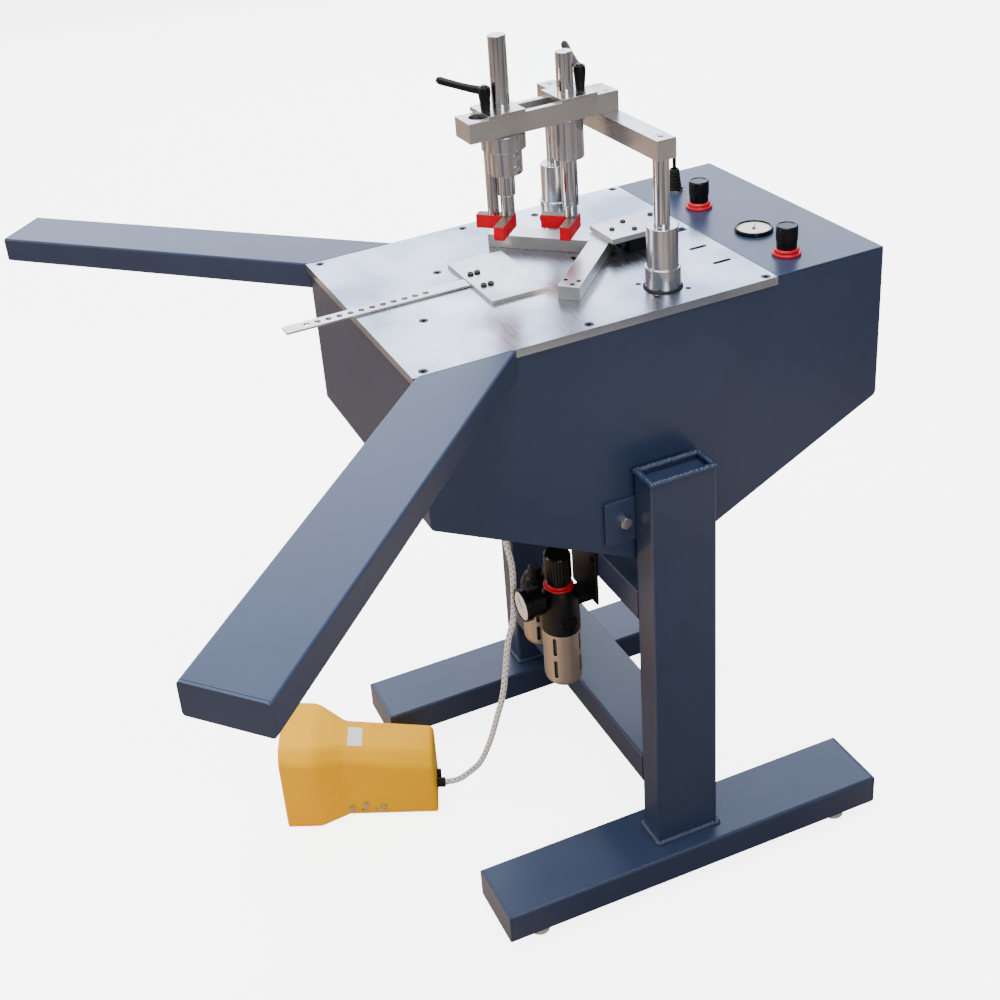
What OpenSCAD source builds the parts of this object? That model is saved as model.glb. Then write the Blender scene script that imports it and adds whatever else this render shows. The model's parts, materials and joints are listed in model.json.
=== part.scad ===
// Picture frame underpinner: a pneumatic bench tool on its own welded stand.
// Lengths are in millimetres. The floor is z = 0, the operator stands on the -Y side.
// Every module is drawn about the uprights' centre; placed() moves it to the part's origin.

/* [Stand] */
// Width of a floor foot tube
foot_w = 100; // [80:1:120]
// Height of a floor foot tube
foot_h = 50; // [40:1:60]
// Length of a floor foot with its end plates
foot_len = 630; // [560:10:760]
// Wall of the stand's tubes
stand_wall = 4; // [3:0.5:5]
// Thickness of the plates that close the tubes
end_plate = 4; // [3:0.5:6]
// Height of the foot tubes over the floor
leveller_h = 20; // [18:1:30]
// Diameter of a levelling foot's pad
leveller_d = 33; // [28:1:38]
// Thickness of a levelling foot's pad
leveller_pad = 8; // [6:1:9]
// Diameter of a levelling foot's stud
leveller_stud = 12; // [10:1:14]
// Distance from a foot tube's end to its levelling foot
leveller_inset = 57; // [40:1:80]
// Offset of the levelling feet outwards from the foot tube's axis
leveller_side = 24; // [0:1:26]
// Width of an upright
upright_w = 44; // [40:1:60]
// Depth of an upright
upright_d = 100; // [90:1:120]
// Reach of an upright over the cabinet's lowest edge
upright_lap = 175; // [160:5:180]
// Depth of an upright's cap under its rim
upright_cap_drop = 10; // [5:1:20]
// Leg of the weld bead round an upright
weld_leg = 6; // [3:0.5:8]
// Height of a cross beam's tube
beam_tube_h = 50; // [40:1:60]
// Depth of a cross beam's tube
beam_tube_d = 100; // [60:1:100]
// Height of the lower cross beam's underside over the floor
lower_beam_z = 157; // [100:1:200]
// Gap between the upper cross beam and the cabinet's lowest edge
upper_beam_gap = 28; // [15:1:50]
// Thickness of a mounting tab between an upright and the cabinet
tab_t = 6; // [5:0.5:8]
// Reach of a mounting tab to the front
tab_front = 95; // [85:1:110]
// Reach of a mounting tab to the rear
tab_rear = 40; // [30:1:48]
// Depth of a mounting tab's upper edge under the upright's top
tab_drop = 45; // [38:1:51]
// Height of a mounting tab
tab_h = 68; // [60:1:80]
// Distance of a tab bolt from the stand's centre
tab_bolt_y = 66; // [62:1:74]
// Diameter of a tab bolt
tab_bolt_d = 10; // [8:1:12]

/* [Cabinet] */
// Width of the cabinet
cab_w = 406; // [390:2:430]
// Reach of the cabinet to the front
cab_front = 344; // [335:1:346]
// Reach of the cabinet to the rear
cab_rear = 342; // [320:1:360]
// Height of the lowest edge of the cabinet over the floor
cab_low = 540; // [530:1:550]
// Height of the cabinet's upright front and rear edges' lower end
cab_knee = 712; // [700:1:730]
// Thickness of the cabinet's sheet
sheet_t = 3; // [2:0.25:4]
// Thickness of the rear cover
cover_t = 3; // [2:0.25:4]

/* [Table] */
// Height of the table's top over the floor
table_top = 940; // [930:5:960]
// Thickness of the table plate
table_t = 12; // [11:0.5:15]
// Reach of the table plate to the front
table_front = 348; // [346:1:352]
// Reach of the table plate to the rear
table_rear = 175; // [172:1:185]
// Overhang of the table plate over the cabinet's sides
table_lip = 2; // [1:0.5:4]
// Width of the short slots behind the press column
table_slot_w = 6; // [5:0.5:8]
// Length of the short slots
table_slot_len = 27; // [20:1:30]
// Diameter of a table screw's head
table_screw_head = 12; // [10:0.5:13]

/* [Support arms] */
// Width of a support arm
arm_w = 98; // [80:1:100]
// Height of a support arm
arm_h = 40; // [30:1:50]
// Length of a support arm along its front edge
arm_len = 574; // [450:1:650]
// Wall of a support arm's tube
arm_wall = 3; // [2:0.5:4]

/* [Fences and stop] */
// Width of a fence bar
fence_w = 30; // [26:1:32]
// Height of a fence bar
fence_h = 20; // [16:1:24]
// Length of a fence bar along its inner edge
fence_len = 150; // [130:1:160]
// Distance of the fences' inner corner behind the stand's centre
fence_y = 10; // [8:1:14]
// Width of the fence carriage's plate
carriage_w = 64; // [60:1:70]
// Length of the fence carriage's plate
carriage_len = 106; // [100:1:108]
// Thickness of the fence carriage's plate
carriage_t = 8; // [6:1:10]
// Width of the carriage's black block
block_w = 58; // [50:1:58]
// Width of the guide key under the block
key_w = 12; // [10:1:16]
// Depth of the guide key in the table
key_h = 8; // [6:1:8]
// Travel of the fences to the rear
fence_travel = 30; // [20:1:32]
// Width of the guide insert
insert_w = 146; // [130:2:150]
// Length of the guide insert
insert_len = 84; // [80:1:86]
// Reach of the guide insert to the front
insert_front = 176; // [170:1:180]
// Thickness of the guide insert
insert_t = 5; // [4.5:0.5:6]
// Width of the stop bar
stop_w = 22; // [18:1:24]
// Thickness of the stop bar
stop_t = 3; // [2:0.5:3]
// Length of the stop bar
stop_len = 346; // [330:1:360]
// Reach of the stop bar to the front
stop_front = 446; // [440:1:460]
// Offset of the stop bar from the centre plane
stop_x = -6; // [-6:1:0]
// Number of holes in the stop bar
stop_holes = 12; // [6:1:12]
// Spacing of the stop bar's holes
stop_pitch = 15.9; // [14:0.1:16]
// Diameter of the stop bar's holes
stop_hole_d = 9; // [7:0.5:10]

/* [Press columns] */
// Distance from the centre plane to each column
column_x = 147; // [144:1:152]
// Distance of the columns behind the stand's centre
column_y = 38; // [36:1:44]
// Diameter of a column's lower sleeve
sleeve_low_d = 47; // [46:0.5:50]
// Height of a column's lower sleeve over the table
sleeve_low_h = 31; // [24:1:36]
// Diameter of a column's upper sleeve
sleeve_high_d = 41.5; // [40:0.5:44]
// Height of a column's upper sleeve
sleeve_high_h = 57; // [48:1:60]
// Diameter of a piston rod
piston_rod_d = 21; // [20:0.5:25]
// Length of a piston rod that shows over its sleeve
piston_rod_show = 94; // [88:1:108]
// Outer diameter of the lift cylinder under the table
cylinder_d = 64; // [60:1:70]
// Bore of the lift cylinder
cylinder_bore = 50; // [46:1:52]
// Length of the lift cylinder under the table
cylinder_len = 140; // [130:1:150]
// Stroke of the press
press_stroke = 30; // [20:1:32]
// Pitch circle diameter of the screws round a column
column_screw_pcd = 66; // [64:1:72]

/* [Bridge and beam] */
// Length of the bridge
bridge_len = 324; // [318:2:332]
// Depth of the bridge
bridge_d = 28; // [26:1:32]
// Height of the bridge
bridge_h = 28; // [24:1:32]
// Width of the slotted beam
beam_w = 46; // [44:1:50]
// Height of the slotted beam
beam_h = 28; // [24:1:32]
// Reach of the slotted beam to the front
beam_front = 168; // [166:1:180]
// Width of the beam's slot
slot_w = 26; // [25:0.5:27]
// Distance from the beam's front end to its slot
slot_inset = 11; // [9:1:12]
// Reach of the slot to the rear
slot_rear = 15; // [14:1:16]

/* [Front hold-down] */
// Distance of the front hold-down rod in front of the stand's centre
front_rod_y = 110; // [108:1:112]
// Diameter of the front hold-down rod
front_rod_d = 24; // [22:0.5:24]
// Height of the front rod's top over the floor
front_rod_top = 1282; // [1270:1:1290]
// Diameter of the front rod's lower end
front_tail_d = 19; // [16:0.5:20]
// Height of the step in the front rod
front_step_z = 1060; // [1050:1:1070]
// Height of the front pad's underside
front_pad_z = 1010; // [1005:1:1014]
// Diameter of the front hub
front_hub_d = 60; // [59:0.5:61]
// Height of the front hub
front_hub_h = 22; // [20:1:24]
// Diameter of the clamp collar
collar_d = 48; // [46:0.5:50]
// Height of the clamp collar
collar_h = 35; // [32:1:38]
// Diameter of the guide rod beside the front rod
guide_d = 16; // [14:0.5:16]
// Distance from the front rod to the guide rod
guide_offset = 21; // [20.5:0.25:21]

/* [Rear hold-down] */
// Distance of the rear hold-down rod in front of the stand's centre
rear_rod_y = 15; // [14:1:16]
// Diameter of the rear hold-down rod
rear_rod_d = 23; // [20:0.5:23]
// Height of the rear rod's top over the floor
rear_rod_top = 1241; // [1235:1:1260]
// Diameter of the rear rod's lower end
rear_tail_d = 19; // [16:0.5:20]
// Height of the step in the rear rod
rear_step_z = 1022; // [1015:1:1030]
// Height of the rear pad's underside
rear_pad_z = 985; // [982:1:990]
// Diameter of the rear hub
rear_hub_d = 44; // [42:0.5:45]
// Height of the rear hub
rear_hub_h = 57; // [52:1:60]

/* [Pads and clamping levers] */
// Height of a pad
pad_h = 20; // [16:1:24]
// Width of a pad's leg
pad_w = 15; // [14:0.5:17]
// Length of a pad's leg along its inner edge
pad_leg = 39; // [34:1:42]
// Distance from the front rod to the front pad's corner
front_pad_apex = 12; // [10:0.5:13]
// Distance from the rear rod to the rear pad's corner
rear_pad_apex = 15; // [12:0.5:16]
// Width of a slider plate
slider_w = 60; // [56:1:64]
// Length of a slider plate
slider_len = 53; // [51:1:54]
// Thickness of a slider plate
slider_t = 6.2; // [5:0.1:8]
// Distance from a hold-down rod to its lever's stud
stud_offset = 22.5; // [22:0.25:23]
// Diameter of a lever's stud
stud_d = 8; // [6:1:8]
// Diameter of a lever's hub
lever_hub_d = 16; // [14:0.5:18]
// Height of a lever's hub
lever_hub_h = 32; // [28:1:36]
// Length of a lever's arm
lever_len = 66; // [60:1:70]
// Diameter of a lever's arm at its tip
lever_tip_d = 10; // [8:0.5:11]

/* [Controls] */
// Diameter of a regulator knob
knob_d = 29; // [26:0.5:32]
// Height of a regulator knob
knob_h = 33; // [28:1:36]
// Diameter of a knob's red ring
ring_d = 42; // [38:0.5:44]
// Height of a knob's red ring
ring_h = 10; // [8:0.5:12]
// Diameter of the panel gauge
gauge_d = 53; // [50:0.5:58]
// Height of the gauge's rim over the cover
gauge_rim_h = 6; // [5:0.5:8]
// Depth of the gauge's case under the cover
gauge_case_h = 32; // [28:1:36]
// Diameter of the toggle's boot at its foot
boot_d = 21; // [20:0.5:22]
// Height of the toggle's boot
boot_h = 36; // [32:1:38]
// Height of the toggle's tip over the cover
toggle_h = 60; // [52:1:64]
// Diameter of the toggle's lever
toggle_d = 7; // [6:0.5:8]

/* [Air unit] */
// Offset of the filter regulator from the centre plane
regulator_x = 60; // [54:1:66]
// Distance of the air unit's axes in front of the stand's centre
unit_y = 97; // [92:1:100]
// Offset of the lubricator from the centre plane
lubricator_x = -18; // [-24:1:-14]
// Diameter of the filter's bowl guard
filter_d = 58; // [54:1:60]
// Height of the filter's bowl guard
filter_h = 100; // [90:1:106]
// Depth of the air unit's top under the upper cross beam's underside
unit_drop = 22; // [18:1:30]
// Diameter of the lubricator's bowl guard
lubricator_d = 48; // [44:1:50]
// Height of the lubricator's bowl guard
lubricator_h = 82; // [76:1:88]
// Height of the air unit's bodies
unit_h = 76; // [68:1:78]
// Diameter of the air unit's knob
unit_knob_d = 42; // [38:1:44]
// Height of the air unit's knob
unit_knob_h = 52; // [44:1:54]
// Diameter of the air unit's gauge
unit_gauge_d = 50; // [44:1:52]
// Depth of the air unit's gauge
unit_gauge_t = 34; // [28:1:36]
// Radius of the inlet port
port_r = 6.6; // [6:0.1:8]

/* [Foot pedal] */
// Length of the pedal
pedal_len = 250; // [240:2:260]
// Width of the pedal at its rear
pedal_rear_w = 96; // [90:1:104]
// Width of the pedal's hood at its mouth
pedal_mouth_w = 146; // [136:1:156]
// Thickness of the pedal's base plate
pedal_base_t = 6; // [5:0.5:8]
// Wall of the pedal's housing
pedal_wall = 4; // [3:0.5:5]
// Height of the pedal's roof at its rear
pedal_rear_h = 114; // [106:1:120]
// Height of the pedal's roof at its mouth
pedal_mouth_h = 155; // [148:1:160]
// Width of the treadle
treadle_w = 82; // [76:1:84]
// Length of the treadle
treadle_len = 118; // [110:1:122]
// Diameter of the treadle's pin
pedal_pin_d = 8; // [6:0.5:8]
// Travel of the treadle in degrees
treadle_swing = 12; // [8:1:12]

/* [Air hose] */
// Outer diameter of the braided air hose
hose_d = 9.5; // [8:0.5:10]
// Diameter of the hose's fittings
fitting_d = 16; // [14:0.5:18]

/* [Wedge driver] */
// Diameter of the driver's cylinder
driver_d = 90; // [80:1:100]
// Bore of the driver's cylinder
driver_bore = 76; // [70:1:78]
// Length of the driver's cylinder
driver_len = 130; // [120:1:140]
// Distance of the driver's blade in front of the stand's centre
driver_y = 14; // [12:1:16]
// Width of the driver's blade
blade_w = 12; // [10:1:14]
// Thickness of the driver's blade
blade_t = 3; // [2:0.5:3]
// Stroke of the driver
driver_stroke = 44; // [36:1:46]
// Width of the wedge magazine
magazine_w = 32; // [28:1:36]
// Length of the wedge magazine
magazine_len = 130; // [120:1:140]
// Height of the wedge magazine
magazine_h = 40; // [36:1:44]

/* [Hidden] */
$fn = 48;

// Colours as the photograph shows them
paint = "#34405a";
bright = "#c9ced6";
steel = "#a9aeb6";
red = "#c81d25";
yellow = "#f5b400";
black = "#1b1c1f";
beige = "#b9ad9b";

// Fits: overrun of cuts, running gap between moving pieces, radial clearance of shafts
overrun = 1;
gap = 0.3;
fit = 0.05;
loose = 0.2;

// Derived places
cab_half = cab_w / 2;
stand_x = cab_half + tab_t + upright_w / 2;
foot_top = leveller_h + foot_h;
upright_top = cab_low + upright_lap;
upright_h = upright_top - foot_top;
upper_beam_z = cab_low - upper_beam_gap - beam_tube_h;
tab_z = upright_top - tab_drop - tab_h;
inner_x = stand_x - upright_w / 2;
table_low = table_top - table_t;
table_half = cab_half + table_lip;
table_len = table_front + table_rear;
arm_tip = cab_front + arm_len * cos(45);
row_shift = (arm_tip - cab_rear) / 2;
fence_low = table_top + gap;
fence_top = table_top + fence_h;
sleeve_mid = table_top + sleeve_low_h;
sleeve_top = sleeve_mid + sleeve_high_h;
bridge_low = sleeve_top + piston_rod_show;
beam_low = bridge_low + bridge_h;
beam_top = beam_low + beam_h;
beam_rear = column_y + bridge_d / 2;
slider_low = beam_top + gap;
slider_top = slider_low + slider_t;
hub_top = beam_low - gap;
front_hub_low = hub_top - front_hub_h;
rear_hub_low = hub_top - rear_hub_h;
insert_rear = insert_front - insert_len;
insert_top = table_top + insert_t;
stop_low = table_top + gap;
front_stud_y = -front_rod_y - stud_offset;
rear_stud_y = -rear_rod_y + stud_offset;

// Screws as [head diameter, head height, shank diameter, shank length]
table_screw = [table_screw_head, 6.5, 6.5, 12];
small_screw = [9, 3, 5, 10];
column_screw = [7, 3, 4, 6];
rod_thread = 14;
beam_thread = 12;
bridge_screw = [16, 7, 9, bridge_h + rod_thread];
beam_screw = [9, 5, 5.5, beam_h + beam_thread];
fence_screw = [7, 4, 4, 10];
carriage_thread = 8;
carriage_screw = [8, 2, 5, carriage_t + carriage_thread];

// Height of a surface over the seat of a screw whose head is sunk in it
function sunk(spec) = spec[1] + 2 * loose;

table_seat = table_top - sunk(table_screw);
column_seat = table_top - sunk(column_screw);
bridge_seat = beam_low - sunk(bridge_screw);
beam_seat = beam_top - sunk(beam_screw);

// Places of the table's screws, as shares of its half width and of its length
table_screw_shares = [
  [0.956, 0.975], [-0.956, 0.975], [0.937, 0.478], [-0.937, 0.478], [0.945, 0.036],
  [-0.945, 0.036], [0.317, 0.143], [-0.322, 0.291], [-0.854, 0.694]
];
table_screw_places = [
  for (s = table_screw_shares) [s[0] * table_half, s[1] * table_len - table_front]
];
// Places of the insert's screws, as shares of its half width and of its length
insert_screw_shares = [[-0.295, 0.143], [-0.3, 0.268], [0.295, 0.143], [0.3, 0.268]];
insert_screw_places = [
  for (s = insert_screw_shares) [s[0] * insert_w / 2, s[1] * insert_len - insert_front]
];
column_screw_places = [
  for (side = [-1, 1], a = [45, 135, 225, 315])
    [side * (column_x + column_screw_pcd / 2 * cos(a)), column_y + column_screw_pcd / 2 * sin(a)]
];
bridge_screw_places = [for (side = [-1, 1]) [side * column_x, column_y]];
beam_screw_share = 0.29;
beam_screw_places = [for (side = [-1, 1]) [side * beam_w * beam_screw_share, column_y]];
// Places of a fence's screws along and across it, as shares of its length and width
fence_screw_shares = [[0.86, 0.18], [0.865, 0.775], [0.94, 0.6]];
// Places of the carriage's screws, as shares of its half width and of its length
carriage_screw_shares = [[0, 0.17], [0.5, 0.42], [-0.5, 0.42], [0.5, 0.84], [-0.5, 0.84]];
carriage_inset = 20;
carriage_front = fence_y + carriage_inset;
carriage_screw_places = [
  for (s = carriage_screw_shares) [s[0] * carriage_w / 2, carriage_front + s[1] * carriage_len]
];

// Moves a piece from the uprights' centre to the part's origin
module placed() {
  translate([0, row_shift, 0]) children();
}

// A block between the given low and high limits
module span(x, y, z) {
  translate([x[0], y[0], z[0]]) cube([x[1] - x[0], y[1] - y[0], z[1] - z[0]]);
}

// A round post that stands between two heights
module post(at, d, z) {
  translate([at[0], at[1], z[0]]) cylinder(d = d, h = z[1] - z[0]);
}

// A piece and its mirror image across the centre plane
module both_sides() {
  children();
  mirror([1, 0, 0]) children();
}

// Cap screws whose heads seat at one height, with their hexagon sockets
module cap_screws(places, seat, spec) {
  for (p = places) translate([p[0], p[1], seat]) {
    difference() {
      cylinder(d = spec[0], h = spec[1]);
      translate([0, 0, spec[1] / 2]) cylinder(d = spec[0] / 2, h = spec[1], $fn = 6);
    }
    translate([0, 0, -spec[3]]) cylinder(d = spec[2], h = spec[3]);
  }
}

// The holes that the same screws need
module screw_holes(places, seat, spec) {
  for (p = places) translate([p[0], p[1], seat - spec[3] - loose])
    cylinder(d = spec[2] + 2 * loose, h = spec[3] + loose + overrun);
}

// The pockets that let the same screws' heads lie under the surface
module head_pockets(places, seat, spec) {
  for (p = places) translate([p[0], p[1], seat])
    cylinder(d = spec[0] + 2 * loose, h = sunk(spec) + overrun);
}

// A rectangular tube along Y, between two plates
module tube_y(w, h, len, wall) {
  difference() {
    translate([-w / 2, -len / 2, 0]) cube([w, len, h]);
    translate([-w / 2 + wall, -len / 2 - overrun, wall])
      cube([w - 2 * wall, len + 2 * overrun, h - 2 * wall]);
  }
}

// A leg at 45 degrees whose root is mitred square to the centre plane
module mitred_leg(len, w, h) {
  rotate(-45) linear_extrude(h) polygon([[0, 0], [len, 0], [len, w], [-w, w]]);
}

module floor_foot() {
  difference() {
    translate([stand_x, 0, leveller_h]) tube_y(foot_w, foot_h, foot_len - 2 * end_plate, stand_wall);
    for (side = [-1, 1])
      post(
        [stand_x + leveller_side, side * (foot_len / 2 - leveller_inset)],
        leveller_stud + 2 * loose,
        [leveller_h - overrun, leveller_h + stand_wall + overrun]
      );
  }
}

module floor_foot_right() {
  color(paint) placed() floor_foot();
}

module floor_foot_left() {
  color(paint) placed() mirror([1, 0, 0]) floor_foot();
}

module levelling_feet() {
  nut_h = leveller_stud / 2;
  color(black) placed() both_sides() for (side = [-1, 1]) {
    at = [stand_x + leveller_side, side * (foot_len / 2 - leveller_inset)];
    post(at, leveller_d, [0, leveller_pad]);
    post(at, leveller_stud, [leveller_pad, leveller_h + stand_wall + nut_h]);
    translate([at[0], at[1], leveller_h - nut_h])
      cylinder(d = leveller_stud * 1.8, h = nut_h, $fn = 6);
    translate([at[0], at[1], leveller_h + stand_wall])
      cylinder(d = leveller_stud * 1.8, h = nut_h, $fn = 6);
  }
}

// A weld bead along Y with a square leg on each plate
module weld_bead(len) {
  translate([0, len / 2, 0]) rotate([90, 0, 0]) linear_extrude(len)
    polygon([[0, 0], [weld_leg, 0], [0, weld_leg]]);
}

module upright() {
  difference() {
    translate([stand_x, 0, foot_top]) union() {
      translate([-upright_w / 2, -upright_d / 2, 0]) cube([upright_w, upright_d, upright_h]);
      for (a = [0, 180]) rotate(a) translate([upright_w / 2, 0, 0]) weld_bead(upright_d);
      for (a = [90, 270]) rotate(a) translate([upright_d / 2, 0, 0]) weld_bead(upright_w);
    }
    translate([stand_x - upright_w / 2 + stand_wall, -upright_d / 2 + stand_wall, foot_top - overrun])
      cube([upright_w - 2 * stand_wall, upright_d - 2 * stand_wall, upright_h + 2 * overrun]);
    translate([0, tab_rear / 2, tab_z + tab_h / 2]) bolt_hole();
  }
  difference() {
    span([cab_half, cab_half + tab_t], [-tab_front, tab_rear], [tab_z, tab_z + tab_h]);
    for (at = tab_bolt_places) translate([0, at, tab_z + tab_h / 2]) bolt_hole();
  }
}

// Places of the tab bolts along Y: the front one shows, the rear one enters the upright
tab_bolt_places = [-tab_bolt_y, tab_rear / 2];

// A hole along X through the cabinet's side, the tab and the upright's wall
module bolt_hole() {
  translate([cab_half - sheet_t - overrun, 0, 0]) rotate([0, 90, 0])
    cylinder(d = tab_bolt_d + 2 * loose, h = sheet_t + tab_t + stand_wall + 2 * overrun);
}

module upright_right() {
  color(paint) placed() upright();
}

module upright_left() {
  color(paint) placed() mirror([1, 0, 0]) upright();
}

module tube_end_plates() {
  foot_end = foot_len / 2;
  cap_top = upright_top - upright_cap_drop;
  color(paint) placed() both_sides() {
    for (side = [0, 1]) mirror([0, side, 0])
      span(
        [stand_x - foot_w / 2, stand_x + foot_w / 2],
        [foot_end - end_plate, foot_end],
        [leveller_h, foot_top]
      );
    span(
      [stand_x - upright_w / 2 + stand_wall, stand_x + upright_w / 2 - stand_wall],
      [-upright_d / 2 + stand_wall, upright_d / 2 - stand_wall],
      [cap_top - end_plate, cap_top]
    );
    translate([cab_half, -cab_front, table_top - arm_h]) rotate(-45)
      translate([arm_len - end_plate, 0, 0]) cube([end_plate, arm_w, arm_h]);
  }
}

module cross_beam(z) {
  color(paint) placed() translate([0, 0, z]) rotate(90)
    tube_y(beam_tube_d, beam_tube_h, 2 * inner_x, stand_wall);
}

module lower_cross_beam() {
  cross_beam(lower_beam_z);
}

module upper_cross_beam() {
  difference() {
    cross_beam(upper_beam_z);
    placed() bracket_screw_holes();
  }
}

// A hexagon bolt along X that grips the given thickness, its nut inside the cabinet
module tab_bolt(grip) {
  head_h = tab_bolt_d * 0.64;
  rotate([0, 90, 0]) {
    cylinder(d = tab_bolt_d * 1.9, h = head_h, $fn = 6);
    translate([0, 0, -grip - head_h]) cylinder(d = tab_bolt_d, h = grip + head_h);
    translate([0, 0, -grip - head_h]) cylinder(d = tab_bolt_d * 1.9, h = head_h, $fn = 6);
  }
}

module frame_fasteners() {
  color(black) placed() {
    both_sides() for (i = [0, 1])
      translate([cab_half + tab_t + i * stand_wall, tab_bolt_places[i], tab_z + tab_h / 2])
        tab_bolt(sheet_t + tab_t + i * stand_wall);
    cap_screws(table_screw_places, table_seat, table_screw);
    cap_screws(insert_screw_places, insert_top, small_screw);
    cap_screws(column_screw_places, column_seat, column_screw);
    for (at = bracket_screw_places) translate(at) rotate([90, 0, 0]) {
      cylinder(d = small_screw[0], h = small_screw[1]);
      translate([0, 0, -small_screw[3]]) cylinder(d = small_screw[2], h = small_screw[3]);
    }
  }
}

// Height of the sloping bottom over the floor, on a face that lies inwards by the given depth
function bottom_z(y, reach, inwards) =
  let (rise = cab_knee - cab_low, slope = atan2(rise, reach))
    cab_low + inwards / cos(slope) + abs(y) * rise / reach;

// The cabinet's side view, drawn inwards by the given depth
module cabinet_profile(inwards, step) {
  front = cab_front - inwards;
  rear = cab_rear - inwards;
  polygon([
    [-front, bottom_z(front, cab_front, inwards)],
    [0, bottom_z(0, cab_front, inwards)],
    [rear, bottom_z(rear, cab_rear, inwards)],
    [rear, table_top - cover_t + inwards],
    [table_rear - step, table_top - cover_t + inwards],
    [table_rear - step, table_low + inwards],
    [-front, table_low + inwards]
  ]);
}

module cabinet_body() {
  color(paint) placed() difference() {
    translate([-cab_half, 0, 0]) rotate([90, 0, 90]) linear_extrude(cab_w) cabinet_profile(0, 0);
    translate([-cab_half + sheet_t, 0, 0]) rotate([90, 0, 90])
      linear_extrude(cab_w - 2 * sheet_t) cabinet_profile(sheet_t, 0);
    both_sides() for (at = tab_bolt_places) translate([0, at, tab_z + tab_h / 2]) bolt_hole();
    post(
      [bulkhead[0], bulkhead[1]],
      fitting_d + 2 * loose,
      [cab_low - overrun, bulkhead[2] + 2 * fitting_d]
    );
  }
}

module rear_cover() {
  hole = knob_stem + 2 * loose;
  z = [table_top - cover_t - overrun, table_top + overrun];
  color(paint) placed() difference() {
    span([-cab_half, cab_half], [table_rear + gap, cab_rear], [table_top - cover_t, table_top]);
    for (at = knob_places) post(at, hole, z);
    post(gauge_place, gauge_case_d + 2 * loose, z);
    post(toggle_place, toggle_bush_d + 2 * loose, z);
  }
}

// A slot along Y with round ends
module slot_outline(w, y) {
  translate([-w / 2, y[0] + w / 2]) square([w, y[1] - y[0] - w]);
  for (c = [y[0] + w / 2, y[1] - w / 2]) translate([0, c]) circle(d = w);
}

// Places of the table's short slots across it, as shares of its half width
table_slot_shares = [0.327, 0.605];
table_slot_margin = 18;
table_slot_rear = table_rear - table_slot_margin;
stop_groove_len = 39;
stop_groove_edge = 1.5;
stop_groove_h = 2;

module table_plate() {
  through = [table_low - overrun, table_top + overrun];
  color(bright) placed() difference() {
    span([-table_half, table_half], [-table_front, table_rear], [table_low, table_top]);
    both_sides() post([column_x, column_y], sleeve_low_d + 2 * fit, through);
    for (s = table_slot_shares) translate([s * table_half, 0, table_low - overrun])
      linear_extrude(table_t + 2 * overrun)
        slot_outline(table_slot_w, [table_slot_rear - table_slot_len, table_slot_rear]);
    span(
      [-blade_w / 2 - gap, blade_w / 2 + gap],
      [-driver_y - blade_t, -driver_y + blade_t],
      through
    );
    span(
      [-key_w / 2 - gap, key_w / 2 + gap],
      [block_front - key_inset, block_rear + fence_travel],
      [table_top - key_h - gap, table_top + overrun]
    );
    span(
      [stop_x - stop_w / 2 - stop_groove_edge, stop_x + stop_w / 2 + stop_groove_edge],
      [-insert_front - stop_groove_len, -insert_front],
      [table_top - stop_groove_h, table_top + overrun]
    );
    screw_holes(table_screw_places, table_seat, table_screw);
    head_pockets(table_screw_places, table_seat, table_screw);
    screw_holes(insert_screw_places, insert_top, small_screw);
    screw_holes(column_screw_places, column_seat, column_screw);
    head_pockets(column_screw_places, column_seat, column_screw);
  }
}

module support_arm() {
  tube = arm_len - end_plate;
  translate([cab_half, -cab_front, table_top - arm_h]) difference() {
    rotate(-45) linear_extrude(arm_h) polygon([[0, 0], [tube, 0], [tube, arm_w], [-arm_w, arm_w]]);
    rotate(-45) translate([0, 0, arm_wall]) linear_extrude(arm_h - 2 * arm_wall) polygon([
      [-arm_wall - overrun, arm_wall],
      [tube + overrun, arm_wall],
      [tube + overrun, arm_w - arm_wall],
      [-arm_w + arm_wall - overrun, arm_w - arm_wall]
    ]);
    span(
      [-overrun, table_lip + gap],
      [cab_front - table_front - gap, arm_w / cos(45) + overrun],
      [arm_h - table_t - gap, arm_h + overrun]
    );
  }
}

module support_arm_right() {
  color(paint) placed() support_arm();
}

module support_arm_left() {
  color(paint) placed() mirror([1, 0, 0]) support_arm();
}

module guide_insert() {
  color(bright) placed() difference() {
    span([-insert_w / 2, insert_w / 2], [-insert_front, -insert_rear], [table_top, insert_top]);
    span(
      [stop_x - stop_w / 2 - gap, stop_x + stop_w / 2 + gap],
      [-insert_front - overrun, -insert_rear + overrun],
      [table_top - overrun, stop_low + stop_t + gap]
    );
    screw_holes(insert_screw_places, insert_top, small_screw);
  }
}

stop_first = 32;

module stop_bar() {
  color(bright) placed() difference() {
    span(
      [stop_x - stop_w / 2, stop_x + stop_w / 2],
      [-stop_front, -stop_front + stop_len],
      [stop_low, stop_low + stop_t]
    );
    for (i = [0 : stop_holes - 1])
      post(
        [stop_x, -stop_front + stop_first + i * stop_pitch],
        stop_hole_d,
        [table_top, stop_low + stop_t + overrun]
      );
  }
}

module fence() {
  translate([0, fence_y, fence_low]) difference() {
    mitred_leg(fence_len, fence_w, fence_h - gap);
    rotate(-45) {
      screw_holes(fence_screw_places, fence_h - gap - sunk(fence_screw), fence_screw);
      head_pockets(fence_screw_places, fence_h - gap - sunk(fence_screw), fence_screw);
    }
  }
}

fence_screw_places = [for (s = fence_screw_shares) [s[0] * fence_len, s[1] * fence_w]];

module fence_right() {
  color(bright) placed() difference() {
    fence();
    screw_holes(carriage_screw_places, fence_top + carriage_t, carriage_screw);
  }
}

module fence_left() {
  color(bright) placed() difference() {
    mirror([1, 0, 0]) fence();
    screw_holes(carriage_screw_places, fence_top + carriage_t, carriage_screw);
  }
}

carriage_rear = carriage_front + carriage_len;
block_space = 6;
block_front = fence_y + fence_w / cos(45) + block_space;
block_rear = carriage_rear;
key_inset = 2;

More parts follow.
